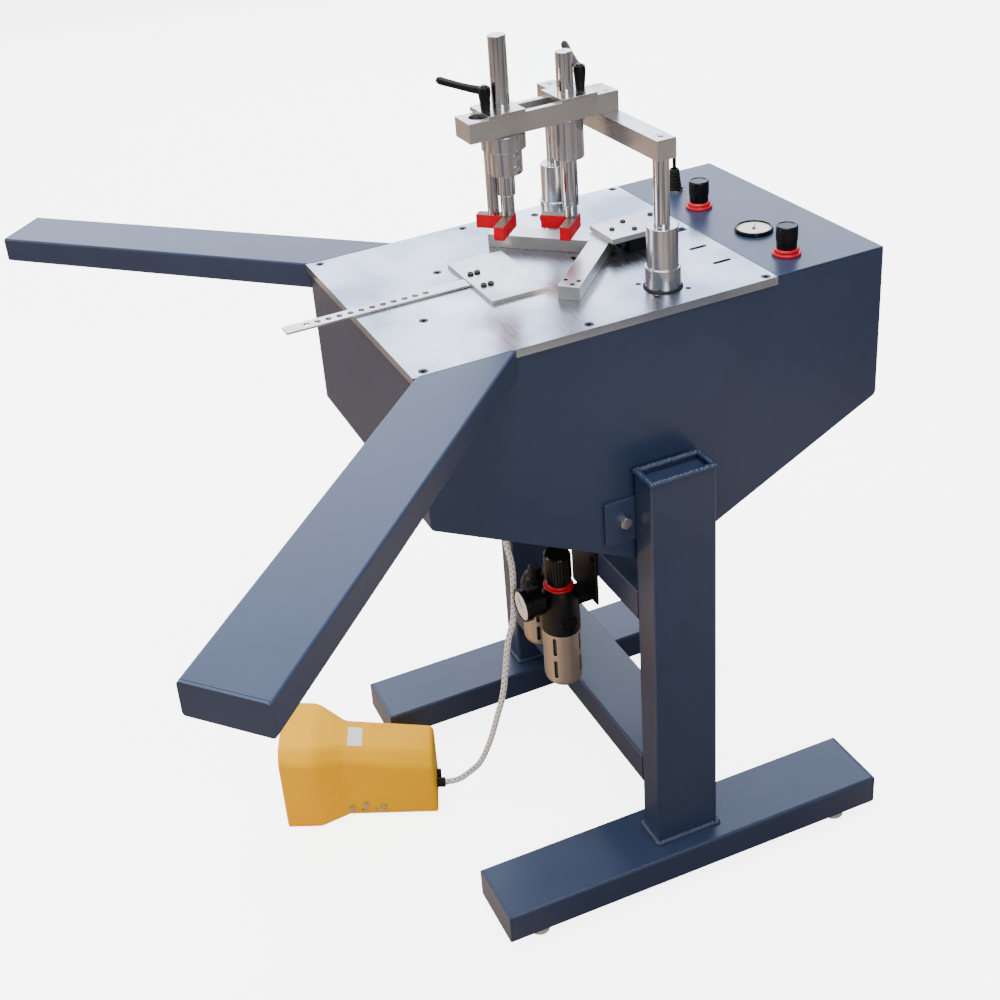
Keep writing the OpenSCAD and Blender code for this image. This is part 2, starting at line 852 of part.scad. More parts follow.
module carriage_plate() {
  color(bright) placed() difference() {
    span(
      [-carriage_w / 2, carriage_w / 2],
      [carriage_front, carriage_rear],
      [fence_top, fence_top + carriage_t]
    );
    screw_holes(carriage_screw_places, fence_top + carriage_t, carriage_screw);
  }
}

module carriage_block() {
  color(black) placed() difference() {
    union() {
      span([-block_w / 2, block_w / 2], [block_front, block_rear], [fence_low, fence_top]);
      span([-key_w / 2, key_w / 2], [block_front, block_rear - key_inset], [table_top - key_h, fence_low]);
    }
    screw_holes(carriage_screw_places, fence_top + carriage_t, carriage_screw);
  }
}

module fence_screws() {
  color(black) placed() {
    cap_screws(carriage_screw_places, fence_top + carriage_t, carriage_screw);
    both_sides() translate([0, fence_y, fence_top]) rotate(-45)
      cap_screws(fence_screw_places, -sunk(fence_screw), fence_screw);
  }
}

cylinder_head = 8;
cylinder_floor = 10;
piston_t = 15;
piston_rest = 5;
chamber_top = table_low - cylinder_head;
chamber_low = table_low - cylinder_len + cylinder_floor;
piston_low = chamber_low + press_stroke + piston_rest;

module lift_cylinder() {
  translate([column_x, column_y, 0]) difference() {
    union() {
      post([0, 0], cylinder_d, [table_low - cylinder_len, table_low]);
      post([0, 0], sleeve_low_d, [table_low, sleeve_mid]);
      post([0, 0], sleeve_high_d, [sleeve_mid, sleeve_top]);
    }
    post([0, 0], piston_rod_d + 2 * fit, [chamber_top - overrun, sleeve_top + overrun]);
    post([0, 0], cylinder_bore, [chamber_low, chamber_top]);
  }
}

module lift_cylinder_right() {
  color(bright) placed() lift_cylinder();
}

module lift_cylinder_left() {
  color(bright) placed() mirror([1, 0, 0]) lift_cylinder();
}

module piston_rod() {
  difference() {
    union() {
      post([column_x, column_y], piston_rod_d, [piston_low, bridge_low]);
      post([column_x, column_y], cylinder_bore - 2 * fit, [piston_low, piston_low + piston_t]);
    }
    screw_holes(bridge_screw_places, bridge_seat, bridge_screw);
  }
}

module piston_rod_right() {
  color(bright) placed() piston_rod();
}

module piston_rod_left() {
  color(bright) placed() mirror([1, 0, 0]) piston_rod();
}

module bridge_bar() {
  color(bright) placed() difference() {
    span(
      [-bridge_len / 2, bridge_len / 2],
      [column_y - bridge_d / 2, column_y + bridge_d / 2],
      [bridge_low, beam_low]
    );
    screw_holes(bridge_screw_places, bridge_seat, bridge_screw);
    head_pockets(bridge_screw_places, bridge_seat, bridge_screw);
    screw_holes(beam_screw_places, beam_seat, beam_screw);
  }
}

module slotted_beam() {
  color(bright) placed() difference() {
    span([-beam_w / 2, beam_w / 2], [-beam_front, beam_rear], [beam_low, beam_top]);
    translate([0, 0, beam_low - overrun]) linear_extrude(beam_h + 2 * overrun)
      slot_outline(slot_w, [-beam_front + slot_inset, slot_rear]);
    screw_holes(beam_screw_places, beam_seat, beam_screw);
    head_pockets(beam_screw_places, beam_seat, beam_screw);
  }
}

module bridge_screws() {
  color(steel) placed() {
    cap_screws(bridge_screw_places, bridge_seat, bridge_screw);
    cap_screws(beam_screw_places, beam_seat, beam_screw);
  }
}

// A slider plate on the beam, bored for its rod and for its lever's stud
module slider_plate(rod_y, rod_d, stud_y, y) {
  z = [slider_low - overrun, slider_top + overrun];
  color(bright) placed() difference() {
    span([-slider_w / 2, slider_w / 2], y, [slider_low, slider_top]);
    post([0, rod_y], rod_d + 2 * fit, z);
    post([0, stud_y], stud_d + 2 * fit, z);
  }
}

stud_margin = 9.5;

module slider_plate_front() {
  front = front_stud_y - stud_margin;
  slider_plate(-front_rod_y, front_rod_d, front_stud_y, [front, front + slider_len]);
}

module slider_plate_rear() {
  rear = rear_stud_y + stud_margin;
  slider_plate(-rear_rod_y, rear_rod_d, rear_stud_y, [rear - slider_len, rear]);
}

stud_depth = 14;
guide_place = [-guide_offset * cos(45), -front_rod_y - guide_offset * sin(45)];

module hub_front() {
  color(bright) placed() difference() {
    post([0, -front_rod_y], front_hub_d, [front_hub_low, hub_top]);
    post([0, -front_rod_y], front_rod_d + 2 * fit, [front_hub_low - overrun, hub_top + overrun]);
    post(guide_place, guide_d + 2 * fit, [front_hub_low - overrun, hub_top + overrun]);
    post([0, front_stud_y], stud_d + 2 * fit, [hub_top - stud_depth - gap, hub_top + overrun]);
  }
}

collar_slit = 2;
collar_screw_d = 9;
collar_screw_rise = 1.5;
collar_screw_turn = 16;
collar_slit_turn = 140;

module clamp_collar() {
  low = front_hub_low - collar_h;
  color(bright) placed() {
    difference() {
      union() {
        post([0, -front_rod_y], collar_d, [low, front_hub_low]);
        for (s = collar_screw_shares) translate([0, -front_rod_y, low + s * collar_h])
          rotate([0, 90, collar_screw_turn])
            cylinder(d = collar_screw_d, h = collar_d / 2 + collar_screw_rise);
      }
      post([0, -front_rod_y], front_rod_d + 2 * fit, [low - overrun, front_hub_low + overrun]);
      post(guide_place, guide_d + 2 * fit, [low - overrun, front_hub_low + overrun]);
      translate([0, -front_rod_y, low - overrun]) rotate(collar_slit_turn)
        translate([0, -collar_slit / 2, 0]) cube([collar_d, collar_slit, collar_h + 2 * overrun]);
      for (s = collar_screw_shares) translate([0, -front_rod_y, low + s * collar_h])
        rotate([0, 90, collar_screw_turn]) translate([0, 0, collar_d / 2 - collar_screw_rise])
          cylinder(d = collar_screw_d / 2, h = collar_d, $fn = 6);
    }
  }
}

// Heights of the collar's two screws, as shares of its height
collar_screw_shares = [0.27, 0.72];

nut_d = 11;
nut_h = 8;

module hub_rear() {
  color(bright) placed() {
    difference() {
      post([0, -rear_rod_y], rear_hub_d, [rear_hub_low, hub_top]);
      post([0, -rear_rod_y], rear_rod_d + 2 * fit, [rear_hub_low - overrun, hub_top + overrun]);
      span(
        [-nut_d, nut_d],
        [rear_stud_y - nut_d / 2 - gap, rear_stud_y + nut_d],
        [hub_top - nut_h, hub_top + overrun]
      );
    }
    difference() {
      translate([0, rear_stud_y, hub_top - nut_h]) cylinder(d = nut_d, h = nut_h);
      post([0, rear_stud_y], stud_d + 2 * fit, [hub_top - nut_h - overrun, hub_top + overrun]);
    }
  }
}

// A hold-down rod with a thinner lower end
module hold_down_rod(y, d, tail_d, z) {
  color(bright) placed() {
    post([0, y], tail_d, [z[0], z[1]]);
    post([0, y], d, [z[1], z[2]]);
  }
}

module hold_down_rod_front() {
  hold_down_rod(
    -front_rod_y, front_rod_d, front_tail_d, [front_pad_z + pad_h, front_step_z, front_rod_top]
  );
}

module hold_down_rod_rear() {
  hold_down_rod(
    -rear_rod_y, rear_rod_d, rear_tail_d, [rear_pad_z + pad_h, rear_step_z, rear_rod_top]
  );
}

guide_top = front_hub_low - collar_slit;

module guide_rod() {
  color(bright) placed() post(guide_place, guide_d, [front_pad_z + pad_h, guide_top]);
}

// A V pad that follows a mitred corner, its outer corner to the rear
module v_pad(apex_y, z) {
  color(red) placed() both_sides() translate([0, apex_y - pad_w / cos(45), z])
    mitred_leg(pad_leg, pad_w, pad_h);
}

module pad_front() {
  v_pad(-front_rod_y + front_pad_apex, front_pad_z);
}

module pad_rear() {
  v_pad(-rear_rod_y + rear_pad_apex, rear_pad_z);
}

front_lever_rise = 9;
front_lever_turn = 217;
rear_lever_rise = 15;
rear_lever_turn = 168;
lever_boss_h = 2;

// A clamping lever: stud, hub and an arm that rises towards its round tip
module clamp_lever(y, turn, rise, stud_low) {
  color(black) placed() {
    post([0, y], stud_d, [stud_low, slider_top + gap]);
    translate([0, y, slider_top + gap])
      cylinder(d1 = lever_hub_d * 0.78, d2 = lever_hub_d, h = lever_hub_h - gap);
    post([0, y], lever_hub_d * 0.6, [slider_top + lever_hub_h, slider_top + lever_hub_h + lever_boss_h]);
    translate([0, y, slider_top + lever_hub_h - lever_tip_d / 2 - overrun])
      rotate([0, 90 - rise, turn]) {
        cylinder(d1 = lever_tip_d * 1.1, d2 = lever_tip_d * 0.9, h = lever_len);
        translate([0, 0, lever_len]) sphere(d = lever_tip_d);
      }
  }
}

module clamp_lever_front() {
  clamp_lever(front_stud_y, front_lever_turn, front_lever_rise, hub_top - stud_depth);
}

module clamp_lever_rear() {
  clamp_lever(rear_stud_y, rear_lever_turn, rear_lever_rise, hub_top - nut_h);
}

// Places on the rear cover, as shares of the cabinet's half width and of the cover's depth
cover_d = cab_rear - table_rear;
knob_shares = [[-0.276, 0.305], [0.749, 0.305]];
knob_places = [for (s = knob_shares) [s[0] * cab_half, table_rear + s[1] * cover_d]];
gauge_place = [0.305 * cab_half, table_rear + 0.377 * cover_d];
toggle_place = [-0.66 * cab_half, table_rear + 0.353 * cover_d];
knob_stem = 12;
gauge_rim_w = 3.5;
gauge_bezel_w = 2.5;
gauge_case_d = gauge_d - 2 * gauge_rim_w;
toggle_bush_d = 12;
under_cover = 14;

module regulator_knob(at) {
  low = table_top + ring_h + gap;
  color(black) placed() {
    post(at, knob_stem, [table_top - cover_t - under_cover / 2, low]);
    post(at, knob_d, [low, table_top + ring_h + knob_h]);
  }
}

module regulator_knob_left() {
  regulator_knob(knob_places[0]);
}

module regulator_knob_right() {
  regulator_knob(knob_places[1]);
}

module knob_rings() {
  color(red) placed() {
    for (at = knob_places) difference() {
      post(at, ring_d, [table_top, table_top + ring_h]);
      post(at, knob_stem + 2 * fit, [table_top - overrun, table_top + ring_h + overrun]);
    }
    difference() {
      post([regulator_x, -unit_y], unit_ring_d, [unit_top, unit_top + unit_ring_h]);
      post(
        [regulator_x, -unit_y],
        unit_stem + 2 * fit,
        [unit_top - overrun, unit_top + unit_ring_h + overrun]
      );
    }
  }
}

dial_t = 2;
dial_drop = 3;
pivot_d = 2;
needle_t = 0.6;
dial_z = table_top + gauge_rim_h - dial_drop;

module gauge_body() {
  rim_z = table_top + gauge_rim_h;
  color(black) placed() {
    difference() {
      union() {
        post(gauge_place, gauge_case_d, [table_top - gauge_case_h, table_top]);
        post(gauge_place, gauge_d, [table_top, rim_z]);
      }
      post(gauge_place, gauge_d - 2 * gauge_bezel_w, [dial_z, rim_z + overrun]);
    }
    post(gauge_place, pivot_d, [dial_z, dial_z + dial_t]);
  }
}

needle_turn = 140;

module gauge_needle() {
  low = dial_z + gap;
  color(red) placed() translate([gauge_place[0], gauge_place[1], low]) difference() {
    union() {
      cylinder(d = 3 * pivot_d, h = needle_t);
      rotate(needle_turn) translate([-pivot_d * 3, -pivot_d / 4, 0])
        cube([gauge_d * 0.47, pivot_d / 2, needle_t]);
    }
    translate([0, 0, -overrun]) cylinder(d = pivot_d + 2 * fit, h = needle_t + 2 * overrun);
  }
}

boot_ribs = 6;
boot_rib = 1.1;
toggle_ball = 9;
boot_nut_h = 3;
boot_flare = 5;
toggle_pin_d = 3;
toggle_pin_len = 11;
toggle_pivot_z = table_top + boot_h - boot_flare;

module toggle_boot() {
  z0 = table_top + boot_nut_h;
  rib_h = (boot_h - boot_nut_h) / boot_ribs;
  color(black) placed() translate([toggle_place[0], toggle_place[1], 0]) difference() {
    union() {
      post([0, 0], toggle_bush_d, [table_top - under_cover, table_top]);
      translate([0, 0, table_top]) cylinder(d = boot_d * 1.15, h = boot_nut_h, $fn = 6);
      for (i = [0 : boot_ribs - 1]) {
        d = boot_d - i * boot_rib;
        post([0, 0], d, [z0 + i * rib_h, z0 + (i + 0.55) * rib_h]);
        post([0, 0], d - 2 * boot_rib, [z0 + i * rib_h, z0 + (i + 1) * rib_h]);
      }
    }
    translate([0, 0, toggle_pivot_z]) sphere(d = toggle_ball + 2 * gap);
    translate([0, 0, toggle_pivot_z])
      cylinder(d1 = toggle_ball, d2 = toggle_ball + boot_flare, h = boot_h);
    translate([0, 0, toggle_pivot_z]) rotate([0, 90, 0])
      cylinder(d = toggle_pin_d + 2 * fit, h = toggle_pin_len + 2 * gap, center = true);
  }
}

module toggle_lever() {
  color(black) placed() translate([toggle_place[0], toggle_place[1], toggle_pivot_z]) {
    sphere(d = toggle_ball);
    rotate([0, 90, 0]) cylinder(d = toggle_pin_d, h = toggle_pin_len, center = true);
    cylinder(d = toggle_d * 0.8, h = table_top + toggle_h - toggle_pivot_z - toggle_d / 2);
    translate([0, 0, table_top + toggle_h - toggle_pivot_z - toggle_d / 2]) sphere(d = toggle_d);
  }
}

unit_top = upper_beam_z - unit_drop;
body_low = unit_top - unit_h;
filter_z = body_low - filter_h;
guard_t = 3;
unit_ring_d = 46;
unit_ring_h = 8;
unit_stem = 18;
unit_body_d = filter_d - 2 * guard_t;
bracket_t = 4;
bracket_reach = unit_y - beam_tube_d / 2;
bracket_w = 76;
bracket_x = [regulator_x - bracket_w / 2, regulator_x + bracket_w / 2];
bracket_over = 4;
bracket_h = 96;
bracket_top = upper_beam_z + beam_tube_h - bracket_over;
bracket_screw_places = [
  for (s = [-0.32, 0.32])
    [regulator_x + s * bracket_w, -beam_tube_d / 2 - bracket_t, upper_beam_z + beam_tube_h / 2]
];

module bracket_screw_holes() {
  for (at = bracket_screw_places) translate(at) rotate([-90, 0, 0])
    cylinder(d = small_screw[2] + 2 * loose, h = small_screw[3] + loose);
}

module air_unit_body() {
  link_z = [body_low + link_low, body_low + link_low + link_h];
  link_half = link_w / 2;
  link_end = regulator_x + unit_body_d / 2 + port_boss;
  lubricator_top = link_z[1] + link_low;
  gauge_y = -unit_y - unit_body_d / 2;
  gauge_z = unit_top - fitting_d;
  color(black) placed() difference() {
    union() {
      post([regulator_x, -unit_y], unit_body_d, [body_low, unit_top]);
      post([lubricator_x, -unit_y], lubricator_d - guard_t, [body_low, lubricator_top]);
      post([lubricator_x, -unit_y], lubricator_d / 2, [lubricator_top, lubricator_top + sight_h]);
      span([lubricator_x, regulator_x], [-unit_y - link_half, -unit_y + link_half], link_z);
      span(
        [regulator_x, link_end],
        [-unit_y - link_half, -unit_y + link_half],
        link_z
      );
      translate([regulator_x, gauge_y + overrun, gauge_z]) rotate([90, 0, 0]) {
        cylinder(d = fitting_d, h = gauge_neck);
        translate([0, 0, gauge_neck]) cylinder(d = unit_gauge_d, h = unit_gauge_t);
      }
      span(
        [bracket_x[0], bracket_x[1]],
        [-beam_tube_d / 2 - bracket_t, -beam_tube_d / 2],
        [bracket_top - bracket_h, bracket_top]
      );
      span(
        [regulator_x - link_half, regulator_x + link_half],
        [-unit_y, -beam_tube_d / 2],
        [unit_top - unit_arm_drop - unit_arm_h, unit_top - unit_arm_drop]
      );
    }
    bracket_screw_holes();
    translate([regulator_x, gauge_y + overrun - gauge_neck - unit_gauge_t, gauge_z]) rotate([90, 0, 0])
      cylinder(d = unit_gauge_d - 2 * gauge_bezel_w, h = 2 * dial_t, center = true);
    post([regulator_x, -unit_y], unit_stem + 2 * fit, [unit_top - stem_depth - dial_t, unit_top + overrun]);
    translate([link_end - port_depth, -unit_y, link_z[0] + link_h / 2])
      rotate([0, 90, 0]) cylinder(r = port_r, h = port_depth + overrun);
  }
}

port_depth = 14;
port_boss = 4;
link_low = 8;
link_h = 32;
link_w = 34;
sight_h = 12;
gauge_neck = 6;
unit_arm_drop = 20;
unit_arm_h = 14;
stem_depth = 10;

// A bowl guard with a round bottom and upright windows
module bowl_guard(x, d, z) {
  windows = 10;
  window_w = 5;
  window_d = 1.5;
  window_share = 0.48;
  translate([x, -unit_y, 0]) difference() {
    translate([0, 0, z[0]]) rotate_extrude() intersection() {
      union() {
        translate([0, d / 4]) square([d / 2, z[1] - z[0] - d / 4]);
        translate([0, d / 4]) circle(r = d / 4);
        square([d / 4, d / 2]);
        translate([d / 4, d / 4]) circle(r = d / 4);
      }
      square([d, z[1] - z[0]]);
    }
    for (a = [0 : 360 / windows : 359]) rotate(a)
      translate([d / 2 - window_d, -window_w / 2, z[0] + d / 3])
        cube([window_w, window_w, (z[1] - z[0]) * window_share]);
    post([0, 0], d - 4 * guard_t, [z[0] + d / 4, z[1] - d / 4]);
  }
}

module bowl_guards() {
  color(beige) placed() {
    bowl_guard(regulator_x, filter_d, [filter_z, body_low]);
    bowl_guard(lubricator_x, lubricator_d, [body_low - lubricator_h, body_low]);
  }
}

module air_unit_knob() {
  low = unit_top + unit_ring_h + gap;
  color(black) placed() {
    post([regulator_x, -unit_y], unit_stem, [unit_top - stem_depth, low]);
    post([regulator_x, -unit_y], unit_knob_d, [low, unit_top + unit_ring_h + unit_knob_h]);
  }
}

// The pedal's own frame: origin at the middle of its rear, +X towards its mouth
pedal_place = [-58, -284];
pedal_turn = -113.6;
pedal_bulge = (pedal_mouth_w - pedal_rear_w) / 2;
// Stations along the pedal, as shares of its length, of its bulge, of its rise and edge height
pedal_station_shares = [0, 0.588, 0.772, 1];
pedal_bulge_shares = [0, 0, 1, 1];
pedal_rise_shares = [0, 0.45, 0.88, 1];
pedal_edge_shares = [0.877, 0.86, 0.88, 0.93];
pedal_roof_inset = 21;

function pedal_section(i, inwards, ends) =
  let (
    x = pedal_station_shares[i] * pedal_len + (i == 0 ? ends[0] : i == 3 ? ends[1] : 0),
    half = pedal_rear_w / 2 + pedal_bulge_shares[i] * pedal_bulge,
    roof = pedal_rear_h + pedal_rise_shares[i] * (pedal_mouth_h - pedal_rear_h),
    edge = pedal_edge_shares[i] * roof,
    low = pedal_base_t - (inwards > 0 ? overrun : 0)
  ) [
    [x, half - inwards, low], [x, half - inwards, edge - inwards / 2],
    [x, half - pedal_roof_inset, roof - inwards], [x, -half + pedal_roof_inset, roof - inwards],
    [x, -half + inwards, edge - inwards / 2], [x, -half + inwards, low]
  ];

// The solid between the pedal's sections
module pedal_loft(inwards, ends) {
  rings = [for (i = [0 : 3]) pedal_section(i, inwards, ends)];
  n = len(rings[0]);
  points = [for (r = rings, p = r) p];
  sides = [
    for (i = [0 : 2], k = [0 : n - 1])
      let (a = i * n + k, b = i * n + (k + 1) % n)
        each [[a, b + n, b], [a, a + n, b + n]]
  ];
  polyhedron(points, concat([[for (k = [0 : n - 1]) k]], sides, [[for (k = [n - 1 : -1 : 0]) 3 * n + k]]));
}

module in_pedal_frame() {
  placed() translate([pedal_place[0], pedal_place[1], 0]) rotate(pedal_turn) children();
}

pedal_pin_x = 118;
pedal_pin_z = 22;
pedal_screw_d = 5;
// Places of the pedal's side screws along it, as shares of its length
pedal_screw_shares = [0.36, 0.57];
pedal_screw_z = 16;

// Posts across the pedal, through its side walls
module across_pedal(x, z, d, len) {
  translate([x, 0, z]) rotate([90, 0, 0]) cylinder(d = d, h = len, center = true);
}

module pedal_base() {
  half = pedal_rear_w / 2;
  flare = pedal_mouth_w / 2;
  stations = [for (s = pedal_station_shares) s * pedal_len];
  ear_t = 8;
  ear_y = treadle_w / 2 - 2 * ear_t;
  valve = [24, 92];
  valve_half = 22;
  valve_h = 48;
  color(yellow) in_pedal_frame() {
    linear_extrude(pedal_base_t) polygon([
      [stations[0], -half], [stations[1], -half], [stations[2], -flare], [stations[3], -flare],
      [stations[3], flare], [stations[2], flare], [stations[1], half], [stations[0], half]
    ]);
    span(valve, [-valve_half, valve_half], [pedal_base_t, valve_h]);
    difference() {
      for (side = [-1, 1])
        span(
          [pedal_pin_x - ear_t, pedal_pin_x + ear_t],
          [side * ear_y - ear_t / 2, side * ear_y + ear_t / 2],
          [pedal_base_t, pedal_pin_z + ear_t]
        );
      across_pedal(pedal_pin_x, pedal_pin_z, pedal_pin_d + 2 * fit, pedal_mouth_w);
    }
  }
}

module pedal_housing() {
  gland_z = hose_points[0][2];
  color(yellow) in_pedal_frame() difference() {
    pedal_loft(0, [0, 0]);
    pedal_loft(pedal_wall, [pedal_wall, overrun]);
    across_pedal(pedal_pin_x, pedal_pin_z, pedal_pin_d + 2 * fit, 2 * pedal_mouth_w);
    for (s = pedal_screw_shares)
      across_pedal(s * pedal_len, pedal_screw_z, pedal_screw_d + 2 * loose, 2 * pedal_mouth_w);
    translate([-overrun, gland_y, gland_z]) rotate([0, 90, 0])
      cylinder(d = gland_shank + 2 * loose, h = pedal_wall + 2 * overrun);
    translate([-overrun, -gland_y, gland_z]) rotate([0, 90, 0])
      cylinder(d = gland_shank + 2 * loose, h = pedal_wall + 2 * overrun);
  }
}

treadle_t = 5;
treadle_slope = 16;

module pedal_treadle() {
  boss_d = 2 * pedal_pin_d;
  color(black) in_pedal_frame() difference() {
    translate([pedal_pin_x, 0, pedal_pin_z]) union() {
      rotate([90, 0, 0]) cylinder(d = boss_d, h = treadle_w / 2, center = true);
      rotate([0, -treadle_slope, 0])
        span(
          [0, treadle_len],
          [-treadle_w / 2, treadle_w / 2],
          [boss_d / 2 + treadle_t, boss_d / 2 + 2 * treadle_t]
        );
      rotate([0, -treadle_slope, 0])
        span([0, boss_d], [-treadle_w / 5, treadle_w / 5], [0, boss_d / 2 + treadle_t + overrun]);
    }
    across_pedal(pedal_pin_x, pedal_pin_z, pedal_pin_d + 2 * fit, pedal_mouth_w);
  }
}

module pedal_pins() {
  head = 3;
  color(steel) in_pedal_frame() {
    across_pedal(pedal_pin_x, pedal_pin_z, pedal_pin_d, pedal_rear_w + 2 * head);
    for (side = [-1, 1], s = pedal_screw_shares)
      translate([s * pedal_len, side * (pedal_rear_w / 2 - pedal_wall / 2), pedal_screw_z])
        rotate([-side * 90, 0, 0]) {
          cylinder(d = pedal_screw_d, h = pedal_wall / 2);
          translate([0, 0, pedal_wall / 2]) cylinder(d = 2 * pedal_screw_d, h = head);
        }
  }
}

// The route of the air hose from the pedal's gland up to the cabinet's bottom
hose_points = [
  [-44, -277, 28], [-34, -256, 34], [-25, -238, 50], [-10, -222, 80], [5, -208, 132],
  [15, -196, 187], [20, -184, 238], [21, -170, 331], [20, -157, 375], [20, -153, 459],
  [20, -159, 508], [20, -164, 560], [20, -165, 600]
];
bulkhead = hose_points[len(hose_points) - 1];
hose_sides = 10;
hose_steps = 4;
gland_y = 10;
gland_shank = 10;

// A point on the smooth curve through four neighbours, at share t of the middle stretch
function spline(a, b, c, d, t) =
  b + t * (c - a) / 2 + t * t * (2 * a - 5 * b + 4 * c - d) / 2
  + t * t * t * (3 * b - 3 * c + d - a) / 2;

function hose_at(i) = hose_points[max(0, min(len(hose_points) - 1, i))];

hose_path = [
  for (i = [0 : len(hose_points) - 2], k = [0 : hose_steps - 1])
    spline(hose_at(i - 1), hose_at(i), hose_at(i + 1), hose_at(i + 2), k / hose_steps),
  bulkhead
];

function unit(v) = v / norm(v);

// One ring of the hose, square to its route
function hose_ring(i) =
  let (
    last = len(hose_path) - 1,
    dir = unit(hose_path[min(last, i + 1)] - hose_path[max(0, i - 1)]),
    side = unit(cross(dir, [1, 0, 0])),
    up = cross(side, dir)
  ) [
    for (k = [0 : hose_sides - 1])
      hose_path[i] + hose_d / 2 * (cos(360 * k / hose_sides) * side + sin(360 * k / hose_sides) * up)
  ];

module air_hose() {
  last = len(hose_path) - 1;
  points = [for (i = [0 : last], p = hose_ring(i)) p];
  sides = [
    for (i = [0 : last - 1], k = [0 : hose_sides - 1])
      let (a = i * hose_sides + k, b = i * hose_sides + (k + 1) % hose_sides)
        each [[a, b, b + hose_sides], [a, b + hose_sides, a + hose_sides]]
  ];
  low_end = [for (k = [hose_sides - 1 : -1 : 0]) k];
  high_end = [for (k = [0 : hose_sides - 1]) last * hose_sides + k];
  color(steel) placed() polyhedron(points, concat([low_end], sides, [high_end]));
}

module hose_fittings() {
  gland_x = 14;
  thread = 4;
  color(black) {
    in_pedal_frame() {
      for (side = [-1, 1]) translate([0, side * gland_y, hose_points[0][2]]) rotate([0, -90, 0]) {
        cylinder(d = fitting_d, h = side > 0 ? gland_x : gland_x / 2);
        translate([0, 0, -pedal_wall - thread]) cylinder(d = gland_shank, h = pedal_wall + thread);
      }
    }
    placed() difference() {
      post([bulkhead[0], bulkhead[1]], fitting_d, [bulkhead[2] - thread, bulkhead[2] + 2 * fitting_d]);
      post([bulkhead[0], bulkhead[1]], hose_d, [bulkhead[2] - thread - overrun, bulkhead[2]]);
    }
  }
}

driver_space = 66;
driver_low = table_low - magazine_h - driver_space - driver_len;
driver_top = driver_low + driver_len;
driver_wall = 8;
ram_d = 20;
ram_t = 14;
pillar_d = 14;
pillar_share = 0.42;

module driver_cylinder() {
  color(steel) placed() translate([0, -driver_y, 0]) {
    difference() {
      post([0, 0], driver_d, [driver_low, driver_top]);
      post([0, 0], driver_bore, [driver_low + driver_wall, driver_top - driver_wall]);
      post([0, 0], ram_d + 2 * fit, [driver_top - driver_wall - overrun, driver_top + overrun]);
    }
    for (side = [-1, 1])
      post([side * driver_d * pillar_share, 0], pillar_d, [driver_top, table_low]);
  }
}

module driver_ram() {
  piston_z = driver_low + driver_wall;
  blade_top = table_top - driver_stroke;
  color(bright) placed() translate([0, -driver_y, 0]) {
    post([0, 0], driver_bore - 2 * fit, [piston_z, piston_z + ram_t]);
    post([0, 0], ram_d, [piston_z, driver_top + ram_t / 2]);
    span([-blade_w / 2, blade_w / 2], [-blade_t / 2, blade_t / 2], [driver_top, blade_top]);
  }
}

channel_w = 12;
channel_h = 16;
channel_drop = 10;
channel_z = [table_low - channel_drop - channel_h, table_low - channel_drop];
pusher_len = 14;
pusher_travel = 90;

module wedge_magazine() {
  rear = -driver_y + magazine_w / 2;
  color(steel) placed() difference() {
    span([-magazine_w / 2, magazine_w / 2], [rear - magazine_len, rear], [table_low - magazine_h, table_low]);
    span(
      [-channel_w / 2, channel_w / 2],
      [rear - magazine_len - overrun, -driver_y],
      channel_z
    );
    span(
      [-blade_w / 2 - gap, blade_w / 2 + gap],
      [-driver_y - blade_t / 2 - gap, -driver_y + blade_t / 2 + gap],
      [table_low - magazine_h - overrun, table_low + overrun]
    );
  }
}

module magazine_pusher() {
  rear = -driver_y - blade_t - pusher_travel;
  color(bright) placed()
    span(
      [-channel_w / 2 + gap, channel_w / 2 - gap],
      [rear - pusher_len, rear],
      [channel_z[0] + gap, channel_z[1] - gap]
    );
}

floor_foot_right();
floor_foot_left();
levelling_feet();
upright_right();
upright_left();
tube_end_plates();
lower_cross_beam();
upper_cross_beam();
frame_fasteners();
cabinet_body();
rear_cover();
table_plate();
support_arm_right();
support_arm_left();
guide_insert();
stop_bar();
fence_right();
fence_left();
carriage_plate();
carriage_block();
fence_screws();
lift_cylinder_right();
lift_cylinder_left();
piston_rod_right();
piston_rod_left();
bridge_bar();
slotted_beam();
bridge_screws();
slider_plate_front();
hub_front();
clamp_collar();
slider_plate_rear();
hub_rear();
hold_down_rod_front();
guide_rod();
hold_down_rod_rear();
pad_front();
pad_rear();
clamp_lever_front();
clamp_lever_rear();
regulator_knob_left();
regulator_knob_right();
knob_rings();
gauge_body();
gauge_needle();
toggle_boot();
toggle_lever();
air_unit_body();
bowl_guards();
air_unit_knob();
pedal_base();
pedal_housing();
pedal_treadle();
pedal_pins();
hose_fittings();
driver_cylinder();
driver_ram();
wedge_magazine();
magazine_pusher();
air_hose();
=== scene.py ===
"""Picture frame underpinner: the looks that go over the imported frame, in metres."""

from __future__ import annotations

import json
import logging
import math
from collections.abc import Callable, Iterator, Sequence
from contextlib import contextmanager
from dataclasses import dataclass
from enum import Enum

import bpy
from mathutils import Matrix, Vector

